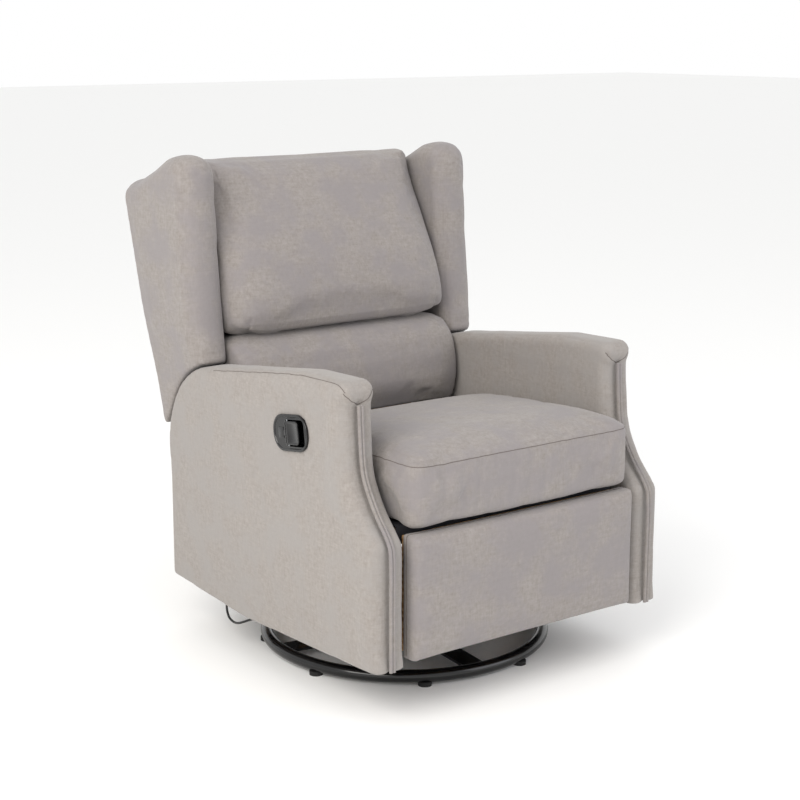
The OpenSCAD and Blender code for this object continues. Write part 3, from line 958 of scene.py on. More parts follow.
@dataclass
class Arm(SoftPiece):
    """One arm and side panel: flat outside, a padded top that rolls over the front, and a soft front edge."""

    inner: float = 289.0
    outer: float = 365.0
    roll: float = 19.0
    groove_x: float = 327.0
    bow: float = 0.075
    grain: float = 8.0
    pleats: tuple[int, ...] = (-11, -4, 4, 11)
    stuffing: Stuffing = Stuffing(swell=7.0)

    def outline(self) -> Outline:
        """The side view of the panel."""
        return ([(-447, 112), (-447, 230), (-447, 345)] + arc((-417, 345), 30, 180, 138, 4)
                + [(-395, 412), (-368, 455), (-357, 490), (-350, 560), (-347, 605)]
                + arc((-330, 630), 25, 195, 90, 6) + [(-205, 652), (50, 618), (150, 598)]
                + arc(RECLINE, 197, 72, 0, 16) + [(307, 330), (309, 112), (30, 94)])

    def front_line(self) -> Outline:
        """The front edge from the floor end to the underside of the roll."""
        return [(-447, 114), (-447, 230), (-447, 330), (-438, 363), (-397, 411), (-369, 455), (-357, 490),
                (-351, 560), (-349, 603)]

    def seams(self, side: int) -> list[np.ndarray]:
        """The seams' lines on one arm.

        Args:
            side: 1 for the left arm, at positive X, and -1 for the right.

        Returns:
            The top's outer seam, the two gathers under the roll, and the top's inner seam.
        """
        top_edge = [(120, 602), (50, 613), (-100, 636), (-209, 647), (-300, 650), (-338, 642), (-352, 628)]
        cap_line = smooth_path([(self.outer, y, z) for y, z in top_edge], 6)
        inner_cap = cap_line.copy()
        inner_cap[:, 0] = self.inner
        gathers = [smooth_path([(self.groove_x, -351, 601), (self.groove_x + way * 20, -353, 611),
                                (self.groove_x + way * 37, -347, 628)], 5) for way in (1, -1)]
        lines = [cap_line, *gathers, inner_cap]
        for line in lines:
            line[:, 0] *= side
        return lines

    def shell(self) -> bpy.types.Object:
        """Makes the left arm's cover, before its seams are sewn.

        Returns:
            The cover.
        """
        arm = slab("arm_left", self.outline(), self.inner + 1, self.outer - 1)
        round_rim(arm, 5, 2, lambda middle, way: abs(way.x) < MM and middle.y / MM > 120)
        even_skin(arm, self.grain)
        front_and_top = ([(-447, 60), (-447, 230), (-447, 345)] + self.front_line()[3:]
                         + arc((-330, 630), 25, 195, 90, 6) + [(-205, 652), (50, 618), (140, 600)])
        middle, half = (self.inner + self.outer) / 2, (self.outer - self.inner) / 2 - 1
        press(arm, lambda points, normals: rolled(points, front_and_top, middle, half, self.roll, self.roll))

        def bowed(points: np.ndarray, normals: np.ndarray) -> np.ndarray:
            """Bows the outer side a little, except round the place of the release handle.

            Args:
                points: The skin's points in millimetres.
                normals: Their normals.

            Returns:
                The new points.
            """
            x, y, z = points.T
            inset = ramp(y, -447, -300) * ramp(-y, -309, -160) * ramp(z, 112, 240) * ramp(-z, -640, -500)
            clear = ramp(np.hypot((y + 176) / 1.4, z - 523), 55, 150)
            return np.column_stack([self.inner + (x - self.inner) * (1 + self.bow * inset * clear), y, z])

        press(arm, bowed)

        def free(points: np.ndarray) -> np.ndarray:
            """The top and the front are stuffed; the rest lies flat on its board.

            Args:
                points: The skin's points in millimetres.

            Returns:
                A number from 0 to 1 for each point.
            """
            top = ramp(points[:, 2], 560, 630) * ramp(-points[:, 1], -170, -60)
            front = path_distance(points[:, 1:], np.asarray(self.front_line(), dtype=float))
            return np.maximum(top, 1 - ramp(front, 20, 70)) * ramp(points[:, 2], 100, 150)

        self.stuffing.fill(arm, (self.inner, -458, 94), (self.outer + 6, 320, 662), free)
        self.soften(arm)
        front = np.array([(self.groove_x, y, z) for y, z in smooth_path(self.front_line(), 6)])
        pleats = [smooth_path([(self.groove_x + a, -352, 612), (self.groove_x + 1.6 * a, -352, 634),
                               (self.groove_x + 2.0 * a, -330, 656)], 4) for a in self.pleats]

        def tucked(points: np.ndarray, normals: np.ndarray) -> np.ndarray:
            """Pulls the cover in at its seams and pleats.

            Args:
                points: The skin's points in millimetres.
                normals: Their normals.

            Returns:
                The new points.
            """
            points = sunk(points, normals, front, 8.0, 5.5)
            for line in pleats:
                points = sunk(points, normals, line, 3.0, 1.8)
            for line, width, depth in zip(self.seams(1), (4.0, 4.5, 4.5, 4.0), (1.8, 4.0, 4.0, 1.2)):
                points = sunk(points, normals, line, width, depth)
            return points

        press(arm, tucked)
        return arm

    def cut_pocket(self, arm: bpy.types.Object, handle: "ReleaseHandle") -> None:
        """Cuts the opening for the release handle's cup through the cover.

        Args:
            arm: The right arm's cover.
            handle: The handle, which knows where its cup is.
        """
        pocket = slab("pocket", rounded(handle.cup_front - 3, handle.cup_rear + 3, -29, 29, 10), -10, 34)
        handle.place(pocket)
        cut(arm, pocket)


@dataclass
class FrontWelt(SoftPiece):
    """Double welt: two covered cords side by side, sewn down the middle of an arm's front edge."""

    middle: float = 327.0
    cord: float = 3.4
    proud: float = 1.2

    def build(self, line: Outline) -> bpy.types.Object:
        """Makes the left arm's welt.

        Args:
            line: The front edge's (y, z) points in millimetres.

        Returns:
            The finished welt.
        """
        side_view = smooth_path(line, 9)
        cords = []
        for side in (-1, 1):
            path = np.array([(self.middle + side * self.cord * 0.98, y - self.proud, z)
                             for y, z in side_view])
            cords.append(cord_along(f"welt_cord_{side}", path, self.cord, 3))
        welt = join(cords)
        welt.name = "front_welt_left_cords"
        dress(welt, self.cover)
        return welt


@dataclass
class Wing(SoftPiece):
    """One wing of the back: thick, with a full roll down its front and over its top."""

    inner: float = 285.5
    outer: float = 365.0
    roll: float = 35.0
    splay: float = 0.12
    grain: float = 8.0
    stuffing: Stuffing = Stuffing(swell=7.0)

    def outline(self) -> Outline:
        """The side view of the wing."""
        foot = [(RECLINE[0] + r * math.cos(math.radians(a)), RECLINE[1] + r * math.sin(math.radians(a)))
                for r, a in ((203, 20), (212, 11.5))]
        return ([(329, 444), (365, 574), (401, 704), (434, 826), (468, 948), (440, 961), (395, 978)]
                + [(350, 996), (297, 1022), (262, 1029), (232, 1027), (214, 1015), (203, 990), (196, 935)]
                + [(190, 880), (183, 783), (174, 690), (166, 607)] + arc(RECLINE, 201, 76, 32, 10) + foot)

    def build(self) -> bpy.types.Object:
        """Makes the left wing, with its dart.

        Returns:
            The finished left wing.
        """
        wing = slab("wing_left_cover", self.outline(), self.inner + 1, self.outer - 1)

        def rear_edge(middle: Vector, way: Vector) -> bool:
            """True on the long edges of the wing's rear."""
            return abs(way.x) < MM and middle.z / MM < 950 and middle.y / MM > 325

        round_rim(wing, 6, 2, rear_edge)
        even_skin(wing, self.grain)
        roll_line = [(164, 580), (166, 607), (174, 690), (183, 783), (190, 880), (196, 935), (203, 990),
                     (214, 1015), (232, 1027), (262, 1029), (297, 1022), (350, 996), (395, 978), (440, 961),
                     (480, 944)]
        middle, half = (self.inner + self.outer) / 2, (self.outer - self.inner) / 2 - 1
        press(wing, lambda points, normals: rolled(points, roll_line, middle, half, self.roll, self.roll))

        def splayed(points: np.ndarray, normals: np.ndarray) -> np.ndarray:
            """Thickens the wing outwards towards its top."""
            more = 1 + self.splay * ramp(points[:, 2], 500, 720)
            return np.column_stack([self.inner + (points[:, 0] - self.inner) * more, points[:, 1:]])

        press(wing, splayed)

        def free(points: np.ndarray) -> np.ndarray:
            """The foot stays clear of the arm, and the rear stays flat.

            Args:
                points: The skin's points in millimetres.

            Returns:
                A number from 0 to 1 for each point.
            """
            foot = ramp(points[:, 2], 600, 680)
            depth = (points[:, 1] - BACK_FOOT[0]) * BACK_OUT[0] + (points[:, 2] - BACK_FOOT[1]) * BACK_OUT[1]
            return foot * ramp(-depth, 15, 70)

        self.stuffing.fill(wing, (self.inner, 140, 420), (self.outer + 11, 500, 1034), free)
        self.soften(wing)
        dart = smooth_path([(self.outer - 2, 214, 972), (self.outer - 14, 203, 977),
                            (self.outer - 38, 200, 988)], 4)
        heel = smooth_path([(self.outer, 180, 616), (self.outer - 12, 166, 618),
                            (self.inner + 14, 166, 618)], 4)

        def tucked(points: np.ndarray, normals: np.ndarray) -> np.ndarray:
            """Pulls the cover in at the dart and above the arm."""
            points = sunk(points, normals, dart, 5.0, 2.4)
            return sunk(points, normals, heel, 5.0, 2.0)

        press(wing, tucked)
        rear_seam = smooth_path([(self.outer - 3, *on_back(s, -1)) for s in range(10, 500, 60)], 12)
        return self.sew(wing, [rear_seam], 0.7)


@dataclass
class SeatCushion(SoftPiece):
    """The boxed seat cushion: a crowned top sewn to a front band, with slack folds in the band."""

    half: float = 284.0
    corner: float = 26.0
    crown: float = 15.0
    bow: float = 5.0
    sag: float = 2.5
    stuffing: Stuffing = Stuffing(swell=13.0)

    def outline(self) -> Outline:
        """The side view of the cushion."""
        return ([(96, 376), (96, 425), (104, 446), (60, 462), (-40, 478), (-124, 487), (-240, 495)]
                + [(-338, 499), (-436, 499)] + arc((-440, 490), 10, 75, 170, 4) + [(-452, 450)]
                + arc((-440, 387), 12, 185, 270, 4) + [(-400, 375), (-384, 376)])

    def build(self) -> bpy.types.Object:
        """Makes the cushion, with its seams.

        Returns:
            The finished cushion.
        """
        cushion = slab("seat_cushion_cover", self.outline(), -self.half, self.half)
        even_skin(cushion, self.grain)
        front = [(-451, 340), (-451, 400), (-451, 499), (-451, 530)]
        top = [(-500, 500), (-436, 500), (-338, 499), (-240, 495), (-124, 487), (-40, 478), (60, 462),
               (104, 446)]

        def crowned(points: np.ndarray, normals: np.ndarray) -> np.ndarray:
            """Raises the middle of the top and rounds off the corners.

            Args:
                points: The skin's points in millimetres.
                normals: Their normals.

            Returns:
                The new points.
            """
            x, y, z = points.T
            across = 1 - (x / self.half) ** 4
            along = ramp(-y, -100, 60) * ramp(y, -470, -330)
            lift = self.crown * np.clip(across, 0, 1) * along * ramp(z, 430, 490)
            bow = self.bow * np.clip(1 - (x / self.half) ** 2, 0, 1) * ramp(-y, 400, 440)
            sag = self.sag * ramp(-y, 390, 410) * ramp(-z, -400, -378)
            return np.stack([x, y - bow, z + lift - sag], axis=1)

        press(cushion, lambda points, normals: rolled(points, top, 0, self.half, 9, 45))
        press(cushion, lambda points, normals: rolled(points, front, 0, self.half, self.corner, self.corner))
        press(cushion, crowned)
        self.stuffing.fill(cushion, (-286, -466, 372.5), (286, 108, 530))
        self.soften(cushion)
        half = self.half - 5
        seam = smooth_path([(-half, -300, 499), (-half, -380, 498), (-half + 3, -425, 496),
                           (-half + 18, -446, 495), (-half + 60, -452, 495), (-120, -456, 496),
                           (0, -457, 496), (120, -456, 496),
                           (half - 60, -452, 495), (half - 18, -446, 495), (half - 3, -425, 496),
                           (half, -380, 498), (half, -300, 499)], 7)
        posts = [smooth_path([(side * 262, -452, 494), (side * 264, -454, 445), (side * 262, -451, 394)], 6)
                 for side in (-1, 1)]
        folds = [(-205, 3.0, 13), (-150, 1.4, 9), (-118, 2.0, 8), (-30, 1.2, 10), (10, 2.6, 11), (48, 1.5, 8),
                 (120, 1.0, 12), (176, 1.8, 9), (225, 1.2, 8)]

        def tucked(points: np.ndarray, normals: np.ndarray) -> np.ndarray:
            """Pulls the cover in at its seams and lets the band fold.

            Args:
                points: The skin's points in millimetres.
                normals: Their normals.

            Returns:
                The new points.
            """
            points = sunk(points, normals, seam, 5.0, 3.0)
            for line in posts:
                points = sunk(points, normals, line, 4.0, 1.4)
            x, y, z = points.T
            band = ramp(-y, 430, 446) * ramp(z, 385, 415) * ramp(-z, -492, -455)
            wave = sum(depth * np.exp(-((x - place - 0.12 * (z - 440)) / width) ** 2)
                       for place, depth, width in folds)
            return np.stack([x, y + band * wave, z], axis=1)

        press(cushion, tucked)
        return self.sew(cushion, [seam], 0.7)


@dataclass
class BackCushion(SoftPiece):
    """A stuffed cushion of the back, whose sides fall away towards the wings."""

    name: str = "head_pillow_cover"
    half: float = 284.0
    fall: float = 36.0
    shoulder: float = 110.0
    rear: Outline = field(default_factory=list)
    face: Outline = field(default_factory=list)
    crest: Outline = field(default_factory=list)
    crest_round: tuple[float, float] = (20.0, 16.0)
    foot_round: tuple[float, float] = (12.0, 18.0)
    stuffing: Stuffing = Stuffing(swell=10.0)
    low: tuple[float, float, float] = (-285, 60, 430)
    high: tuple[float, float, float] = (285, 460, 1012)

    def build(self) -> bpy.types.Object:
        """Makes the cushion.

        Returns:
            The finished cushion.
        """
        cushion = slab(self.name, self.face + self.crest[1:] + self.rear, -self.half, self.half)
        even_skin(cushion, self.grain)
        foot = [self.rear[-1], self.face[0], self.face[1]]
        edges = ((self.crest, self.crest_round), (foot, self.foot_round),
                 (self.face, (self.fall, self.shoulder)))
        for line, (depth, width) in edges:
            set_points(cushion, rolled(points_of(cushion), line, 0, self.half, depth, width))

        def free(points: np.ndarray) -> np.ndarray:
            """The rear stays flat against the frame; only the face swells."""
            depth = (points[:, 1] - BACK_FOOT[0]) * BACK_OUT[0] + (points[:, 2] - BACK_FOOT[1]) * BACK_OUT[1]
            return ramp(-depth, 110, 160)

        self.stuffing.fill(cushion, self.low, self.high, free)
        self.soften(cushion)
        return self.sew(cushion, [])


@dataclass
class FootrestPad(SoftPiece):
    """The padded panel on the footrest board: a plain face, round at its rim."""

    half: float = 285.0
    low: float = 118.0
    high: float = 369.0
    rear: float = -413.0
    face: float = -453.0
    stuffing: Stuffing = Stuffing(swell=5.0)

    def build(self) -> bpy.types.Object:
        """Makes the pad, with the seam round its face.

        Returns:
            The finished pad.
        """
        corner = 7
        outline = ([(self.rear, self.low + 1), (self.rear, self.high - 1)]
                   + arc((self.face + corner, self.high - 1 - corner), corner, 90, 180, 3)
                   + arc((self.face + corner, self.low + 1 + corner), corner, 180, 270, 3))
        pad = slab("footrest_pad_cover", outline, -self.half + 1, self.half - 1)
        even_skin(pad, self.grain)
        face = [(self.face, self.low - 40), (self.face, self.low + 60), (self.face, self.high + 40)]
        press(pad, lambda points, normals: rolled(points, face, 0, self.half - 1, 11, 11))
        self.stuffing.fill(pad, (-self.half - 0.5, -460, self.low), (self.half + 0.5, self.rear, self.high))
        self.soften(pad)
        edge_x, edge_z = self.half - 5, 5
        side = self.rear - 14
        hem = smooth_path([(-edge_x - 4, side, self.low + 12), (-edge_x - 4, side, self.high - 12),
                           (-edge_x + 8, side, self.high), (0, side, self.high),
                           (edge_x - 8, side, self.high), (edge_x + 4, side, self.high - 12),
                           (edge_x + 4, side, self.low + 12)], 9)

        def tucked(points: np.ndarray, normals: np.ndarray) -> np.ndarray:
            """Pulls the cover in at its hem."""
            return sunk(points, normals, hem, float(edge_z), 1.5)

        press(pad, tucked)
        return self.sew(pad, [hem], 0.8)


@dataclass
class RearPanel(SoftPiece):
    """A panel of the chair's rear: the cover drawn over a board or frame, with thin wadding under it."""

    name: str = "outer_back_cover"
    half: float = 284.5
    narrow: Optional[tuple[float, float]] = None
    side: Outline = field(default_factory=list)

    def build(self, seams: Sequence[np.ndarray]) -> bpy.types.Object:
        """Makes the panel.

        Args:
            seams: The seams' lines near its surface, in millimetres.

        Returns:
            The finished panel.
        """
        panel = slab(self.name, self.side, -self.half, self.half)
        round_rim(panel, 3, 2, lambda middle, way: abs(way.x) < MM)
        even_skin(panel, 5.0)

        def stepped(points: np.ndarray, normals: np.ndarray) -> np.ndarray:
            """Narrows the panel above the height where the hinge plates swing past it.

            Args:
                points: The skin's points in millimetres.
                normals: Their normals.

            Returns:
                The new points.
            """
            height, half = self.narrow
            x = np.where(points[:, 2] > height, np.clip(points[:, 0], -half, half), points[:, 0])
            return np.column_stack([x, points[:, 1:]])

        if self.narrow is not None:
            press(panel, stepped)
        self.soften(panel)

        def tucked(points: np.ndarray, normals: np.ndarray) -> np.ndarray:
            """Pulls the cover in at its seams."""
            for line in seams:
                points = sunk(points, normals, line, 5.0, 1.4)
            return points

        press(panel, tucked)
        return self.sew(panel, seams, 0.8)


@dataclass
class DeckCloth(SoftPiece):
    """The black cloth stretched over the seat springs and down the frame's front rail, where it is partly
    real deck cloth and partly a dark sheet that paints the shade in the gap below the cushion.
    """

    half: float = 274.0
    front: float = -386.0
    rear: float = 95.0
    top: float = 372.0
    fall: float = 36.0
    spring_pitch: float = 100.0
    dip: float = 0.9

    def build(self) -> bpy.types.Object:
        """Makes the cloth, with a slight dip between the springs.

        Returns:
            The finished cloth.
        """
        clear_selection()
        bpy.ops.mesh.primitive_grid_add(x_subdivisions=44, y_subdivisions=38, size=1.0)
        deck = bpy.context.object
        deck.name = "seat_deck_cloth"
        length = self.rear - self.front
        bpy.ops.object.mode_set(mode="EDIT")
        bpy.ops.mesh.select_all(action="SELECT")
        bpy.ops.transform.resize(value=(2 * self.half * MM, length * MM, 1), center_override=(0, 0, 0))
        bpy.ops.transform.translate(value=(0, (self.front + self.rear) / 2 * MM, self.top * MM))

        def front_edge(middle: Vector, way: Vector) -> bool:
            """True on the edges along the cloth's front."""
            return abs(middle.y / MM - self.front) < 0.5 and abs(way.y) < 0.1 * MM

        # Painted shade: the cloth's fall down the front rail is black where the gap under the cushion lies in
        # shade; deck cloth is also stapled there.
        pick(deck, Pick.EDGES, front_edge)
        for _ in range(3):
            bpy.ops.mesh.extrude_region_move(TRANSFORM_OT_translate={"value": (0, 0, -self.fall * MM / 3)})
        bpy.ops.object.mode_set(mode="OBJECT")

        def dipped(points: np.ndarray, normals: np.ndarray) -> np.ndarray:
            """Lets the cloth dip between the springs.

            Args:
                points: The skin's points in millimetres.
                normals: Their normals.

            Returns:
                The new points.
            """
            x, y, z = points.T
            inside = (ramp(self.half - np.abs(x), 5, 60) * ramp(y - self.front, 5, 60)
                      * ramp(self.rear - y, 5, 60))
            wave = 0.5 - 0.5 * np.cos(2 * np.pi * (x / self.spring_pitch - 0.5))
            return np.stack([x, y, z - self.dip * inside * wave], axis=1)

        press(deck, dipped)
        finish_with(deck, "SOLIDIFY", thickness=0.8 * MM, offset=0)
        take(deck)
        bpy.ops.object.shade_smooth_by_angle(angle=math.radians(40))
        dress(deck, self.cover)
        return deck

    def settle_deck(self, deck: bpy.types.Object) -> None:
        """Puts the cloth on the seat and logs its name and face count.

        Args:
            deck: The finished cloth.
        """
        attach(deck, "seat_unit")
        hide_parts("seat_deck")
        LOG.info("%s: %d faces", deck.name, len(deck.data.polygons))


# ---------------------------------------------------------------- the release handle

@dataclass
class ReleaseHandle:
    """The moulded plate in the right arm, with a rim, a finger cup and a paddle lever."""

    plastic: bpy.types.Material
    middle: tuple[float, float, float] = (-365.0, -176.0, 523.0)
    tilt: float = 8.5
    length: float = 118.0
    height: float = 72.0
    proud: float = 4.0
    cup_front: float = -50.0
    cup_rear: float = 15.0
    cup_half: float = 26.0
    cup_depth: float = 18.0
    cup_wall: float = 2.0
    rim_width: float = 3.2
    recess: float = 1.4
    lever_tip: float = -30.0
    lever_pin: float = 10.0
    barrel_radius: float = 4.0
    barrel_length: float = 46.0

    def place(self, piece: bpy.types.Object) -> None:
        """Turns a piece by the plate's tilt and moves it into the arm's outer face.

        Args:
            piece: The piece.
        """
        take(piece)
        bpy.ops.object.mode_set(mode="EDIT")
        bpy.ops.mesh.select_all(action="SELECT")
        bpy.ops.transform.rotate(value=math.radians(self.tilt), orient_axis="X", center_override=(0, 0, 0))
        bpy.ops.transform.translate(value=tuple(c * MM for c in self.middle))
        bpy.ops.object.mode_set(mode="OBJECT")

    def plate(self) -> bpy.types.Object:
        """Makes the plate with its rim, cup and hinge boss.

        Returns:
            The closed plate.
        """
        half_l, half_h = self.length / 2, self.height / 2
        plate = slab("handle_plate_moulding", rounded(-half_l, half_l, -half_h, half_h, 33, 10),
                     -self.proud, 0)
        round_rim(plate, 1.6, 3, lambda middle, way: middle.x / MM < -self.proud + 0.1)
        take(plate)
        bpy.ops.object.mode_set(mode="EDIT")
        pick(plate, Pick.FACES, lambda middle, way: way.x < -0.99 and middle.x / MM < -self.proud + 0.1)
        bpy.ops.mesh.inset(thickness=self.rim_width * MM, depth=0)
        bpy.ops.mesh.inset(thickness=1.2 * MM, depth=-self.recess * MM)
        bpy.ops.object.mode_set(mode="OBJECT")
        wall = self.cup_wall
        box = slab("cup_box", rounded(self.cup_front - wall, self.cup_rear + wall, -self.cup_half - wall,
                                      self.cup_half + wall, 9), -0.6, self.cup_depth + wall)
        cut(plate, box, "UNION")
        collar = slab("collar", rounded(self.cup_front - 3, self.cup_rear + 3, -self.cup_half - 2.4,
                                        self.cup_half + 2.4, 12), -self.proud + 0.2, -1)
        round_rim(collar, 0.8, 2, lambda middle, way: middle.x / MM < -self.proud + 0.4)
        cut(plate, collar, "UNION")
        cup = slab("cup", rounded(self.cup_front, self.cup_rear, -self.cup_half, self.cup_half, 9),
                   -self.proud - 2, self.cup_depth)
        cut(plate, cup)
        for low, high, front, rear in ((-11, 11, 21, 41), (-6, 6, 15, 22)):
            boss = slab("boss", rounded(front, rear, low, high, 3), -self.proud + 0.6, -1)
            round_rim(boss, 0.7, 2, lambda middle, way: middle.x / MM < -self.proud + 0.8)
            cut(plate, boss, "UNION")
        return plate

    def lever(self) -> bpy.types.Object:
        """Makes the paddle: a bowed front edge turned up into a lip, and a barrel on the pin.

        Returns:
            The closed lever.
        """
        tip, pin = self.lever_tip, self.lever_pin
        outline = (arc((tip + 8, -15), 8, 270, 190, 5) + [(tip - 0.5, -6), (tip - 0.8, 0), (tip - 0.5, 6)]
                   + arc((tip + 8, 15), 8, 170, 90, 5) + arc((pin - 6, 17), 6, 90, 10, 5)
                   + arc((pin - 6, -17), 6, -10, -90, 5))
        paddle = slab("handle_lever_paddle", outline, -self.proud - 1, -self.proud + 2.5)
        round_rim(paddle, 1.1, 3, lambda middle, way: middle.x / MM < -self.proud - 0.9)
        take(paddle)
        bpy.ops.object.mode_set(mode="EDIT")
        pick(paddle, Pick.FACES, lambda middle, way: way.x < -0.99 and middle.x / MM < -self.proud - 0.9)
        bpy.ops.mesh.inset(thickness=2.4 * MM, depth=0)
        bpy.ops.mesh.inset(thickness=1.0 * MM, depth=-0.7 * MM)
        bpy.ops.object.mode_set(mode="OBJECT")
        clear_selection()
        bpy.ops.mesh.primitive_cylinder_add(vertices=32, radius=self.barrel_radius * MM,
                                            depth=self.barrel_length * MM, location=(-MM, pin * MM, 0))
        barrel = bpy.context.object
        bpy.ops.object.transform_apply(location=True, rotation=True, scale=True)
        round_rim(barrel, 0.8, 2, lambda middle, way: abs(way.z) < MM and abs(middle.z) > 22.9 * MM)
        cut(paddle, barrel, "UNION")
        return paddle

    def build(self) -> None:
        """Makes the plate and the lever and puts each on its body."""
        for piece, body, node in ((self.plate(), "seat_unit", "handle_plate"),
                                  (self.lever(), "release_lever", "handle_lever")):
            self.place(piece)
            take(piece)
            bpy.ops.object.shade_smooth_by_angle(angle=math.radians(35))
            dress(piece, self.plastic)
            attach(piece, body)
            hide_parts(node)
            LOG.info("%s: %d faces on %s", piece.name, len(piece.data.polygons), body)


# ---------------------------------------------------------------- the room

@dataclass
class Studio:
    """The camera, the floor and the lights."""

    azimuth: float = -36.8
    elevation: float = 12.6
    distance: float = 3.5261
    target: tuple[float, float, float] = (-0.014, -0.053, 0.5181)
    lens: float = 76.0

    def set_up(self) -> None:
        """Makes them all."""
        self.camera()
        self.floor()
        self.lights()

    def camera(self) -> None:
        """Makes the camera, turned to the chair's three-quarter front."""
        turn, rise = math.radians(self.azimuth), math.radians(self.elevation)
        look = Vector((-math.sin(turn) * math.cos(rise), math.cos(turn) * math.cos(rise), -math.sin(rise)))
        place = Vector(self.target) - look * self.distance
        clear_selection()
        bpy.ops.object.camera_add(location=place, rotation=look.to_track_quat("-Z", "Y").to_euler())
        camera = bpy.context.object
        camera.name = "studio_camera"
        camera.data.lens = self.lens
        camera.data.sensor_width = 36.0
        camera.data.dof.use_dof = False
        bpy.context.scene.camera = camera

    def floor(self) -> None:
        """Makes a plain pale floor."""
        clear_selection()
        bpy.ops.mesh.primitive_plane_add(size=60.0, location=(0, 0, 0))
        floor = bpy.context.object
        floor.name = "studio_floor"
        material = bpy.data.materials.new("pale_floor")
        material.use_nodes = True
        shader = material.node_tree.nodes["Principled BSDF"]
        shader.inputs["Base Color"].default_value = linear("#f4f4f3")
        shader.inputs["Roughness"].default_value = 0.85
        dress(floor, material)

    def lights(self) -> None:
        """Makes a soft key from the left, a fill from the right and a pale sky."""
        for name, place, size, power, colour in (
                ("key_light", (-3.2, -1.6, 2.6), 2.6, 122.0, "#fffbf6"),
                ("fill_light", (2.4, -3.6, 2.2), 3.0, 44.0, "#f7f7ff")):
            clear_selection()
            aim = (Vector((0, -0.1, 0.5)) - Vector(place)).to_track_quat("-Z", "Y").to_euler()
            bpy.ops.object.light_add(type="AREA", location=place, rotation=aim)
            light = bpy.context.object
            light.name = name
            light.data.shape = "SQUARE"
            light.data.size = size
            light.data.energy = power
            light.data.color = linear(colour)[:3]
        world = bpy.data.worlds.new("pale_sky")
        world.use_nodes = True
        sky = world.node_tree.nodes["Background"]
        sky.inputs["Color"].default_value = linear("#ffffff")
        sky.inputs["Strength"].default_value = 1.0
        bpy.context.scene.world = world
        bpy.context.scene.view_settings.view_transform = "Standard"


# ---------------------------------------------------------------- the chair

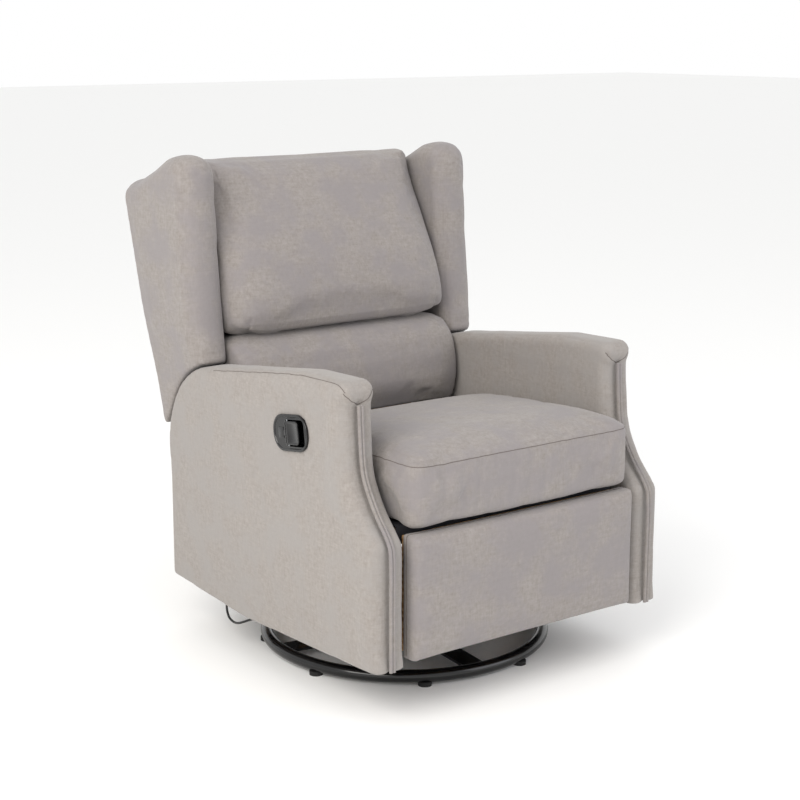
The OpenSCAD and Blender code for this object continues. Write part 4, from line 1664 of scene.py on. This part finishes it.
@dataclass
class Upholstery:
    """All the stuffed pieces of the chair."""

    wardrobe: Wardrobe
    handle: "ReleaseHandle"

    def build(self) -> None:
        """Makes every stuffed piece and puts it on its body."""
        self.arms()
        self.wings()
        self.cushions()
        self.panels()

    def arms(self) -> None:
        """Makes both arms and their welts."""
        # The arms wear the lighter copy of the cover: painted light on their sides.
        maker = Arm(self.wardrobe.side_cover, self.wardrobe.thread)
        left = maker.shell()
        right = mirrored(left, "arm_right")
        maker.cut_pocket(right, self.handle)
        for arm, side, node in ((left, 1, "side_cover_left"), (right, -1, "side_cover_right")):
            # The dark thread laid along the outer seam and the two gathers is painted shade in their creases.
            maker.settle(maker.sew(arm, maker.seams(side)[:3], 0.7), "seat_unit", [node], 0.85)
        welter = FrontWelt(self.wardrobe.cover, self.wardrobe.thread)
        welt = welter.build(maker.front_line())
        other = mirrored(welt, "front_welt_right_cords")
        welter.settle(welt, "seat_unit", ["front_welt_left"], 0.95, "welt_fabric")
        welter.settle(other, "seat_unit", ["front_welt_right"], 0.95, "welt_fabric")

    def wings(self) -> None:
        """Makes both wings."""
        maker = Wing(self.wardrobe.cover, self.wardrobe.thread)
        left = maker.build()
        right = mirrored(left, "wing_right_cover")
        maker.settle(left, "back", ["wing_left"], 0.9)
        maker.settle(right, "back", ["wing_right"], 0.9)

    def cushions(self) -> None:
        """Makes the seat, lumbar and head cushions and the footrest's pad."""
        cover, thread = self.wardrobe.cover, self.wardrobe.thread
        seat = SeatCushion(cover, thread)
        seat.settle(seat.build(), "seat_unit", ["seat_cushion"], 0.75)
        pillow = BackCushion(
            cover, thread, name="head_pillow_cover",
            stuffing=Stuffing(pressure=3.0, swell=7.0),
            face=[(170, 644), (156, 648), (149, 664), (150, 690), (157, 725), (181, 790), (217, 862),
                  (259, 935), (288, 988)],
            crest=[(288, 988), (312, 1003), (345, 1005), (395, 989), (440, 967), (466, 946)],
            rear=[on_back(505, -2), on_back(505, -75), on_back(350, -75), on_back(194, -75)],
            low=(-285, 134, 638), high=(285, 480, 1008))
        pillow.settle(pillow.build(), "back", ["head_pillow"], 0.8)
        lumbar = BackCushion(
            cover, thread, name="lumbar_cushion_cover", fall=18, shoulder=70, crest_round=(14, 36),
            foot_round=(6, 10),
            face=[(126, 446), (120, 470), (116, 510), (123, 560), (139, 600), (160, 625)],
            crest=[(160, 625), (200, 637), on_back(178, -75)],
            rear=[on_back(102, -78), (238, 521), (224, 457)],
            low=(-285, 104, 444), high=(285, 330, 645))
        lumbar.settle(lumbar.build(), "back", ["lumbar_cushion"], 0.85)
        pad = FootrestPad(cover, thread)
        pad.settle(pad.build(), "footrest", ["footrest_pad"], 0.85)
        deck = DeckCloth(self.wardrobe.deck, thread)
        deck.settle_deck(deck.build())

    def panels(self) -> None:
        """Makes the outer back and the rear panel below it."""
        cover, thread = self.wardrobe.side_cover, self.wardrobe.thread
        upper = RearPanel(cover, thread, name="outer_back_cover",
                          side=[on_back(2, -11), on_back(250, -11), on_back(503, -11), on_back(503, -1),
                                on_back(250, -1), on_back(2, -1)])
        edge = [smooth_path([(x, *on_back(s, 2)) for s in range(12, 496, 60)], 10) for x in (-276, 276)]
        upper.settle(upper.build(edge), "back", ["outer_back"], 0.95)
        lower = RearPanel(cover, thread, name="rear_panel_cover", half=289.2, narrow=(403, 277),
                          side=[(300, 115), (300, 260), (300, 402), (300, 437), (305.5, 437), (305.5, 402),
                                (305.5, 260), (305.5, 115)])
        hem = smooth_path([(-280, 308, 126), (0, 308, 126), (280, 308, 126)], 10)
        lower.settle(lower.build([hem]), "seat_unit", ["rear_cover"], 0.95)


@dataclass
class Ironwork:
    """The frame's own nodes, which keep their shape and get their finish."""

    wardrobe: Wardrobe

    def dress(self) -> None:
        """Gives each node that still shows its finish, by the record's slot."""
        w = self.wardrobe
        by_slot = {"base_enamel": w.enamel, "rubber_feet": w.rubber, "mechanism_paint": w.powder,
                   "zinc_steel": w.zinc, "spring_steel": w.spring, "frame_wood": w.wood,
                   "handle_plastic": w.abs_black, "cable_sheath": w.sheath, "deck_cloth": w.deck,
                   "welt_fabric": w.cover, "cover_fabric": w.cover}
        for name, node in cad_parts.items():
            slots = [slot.material.name.split(".")[0] for slot in node.material_slots if slot.material]
            finish = next((by_slot[s] for s in slots if s in by_slot), None)
            if finish is None:
                LOG.warning("%s has no finish for %s", name, slots)
                continue
            dress_node(name, finish)
            LOG.info("%s: %s", name, finish.name)


def main() -> None:
    """Builds the studio and the chair, and reports each piece."""
    logging.basicConfig(level=logging.INFO, format="%(name)s %(message)s")
    Studio().set_up()
    wardrobe = Wardrobe()
    Ironwork(wardrobe).dress()
    handle = ReleaseHandle(wardrobe.abs_black)
    handle.build()
    Upholstery(wardrobe, handle).build()


if __name__ == "__main__":
    main()
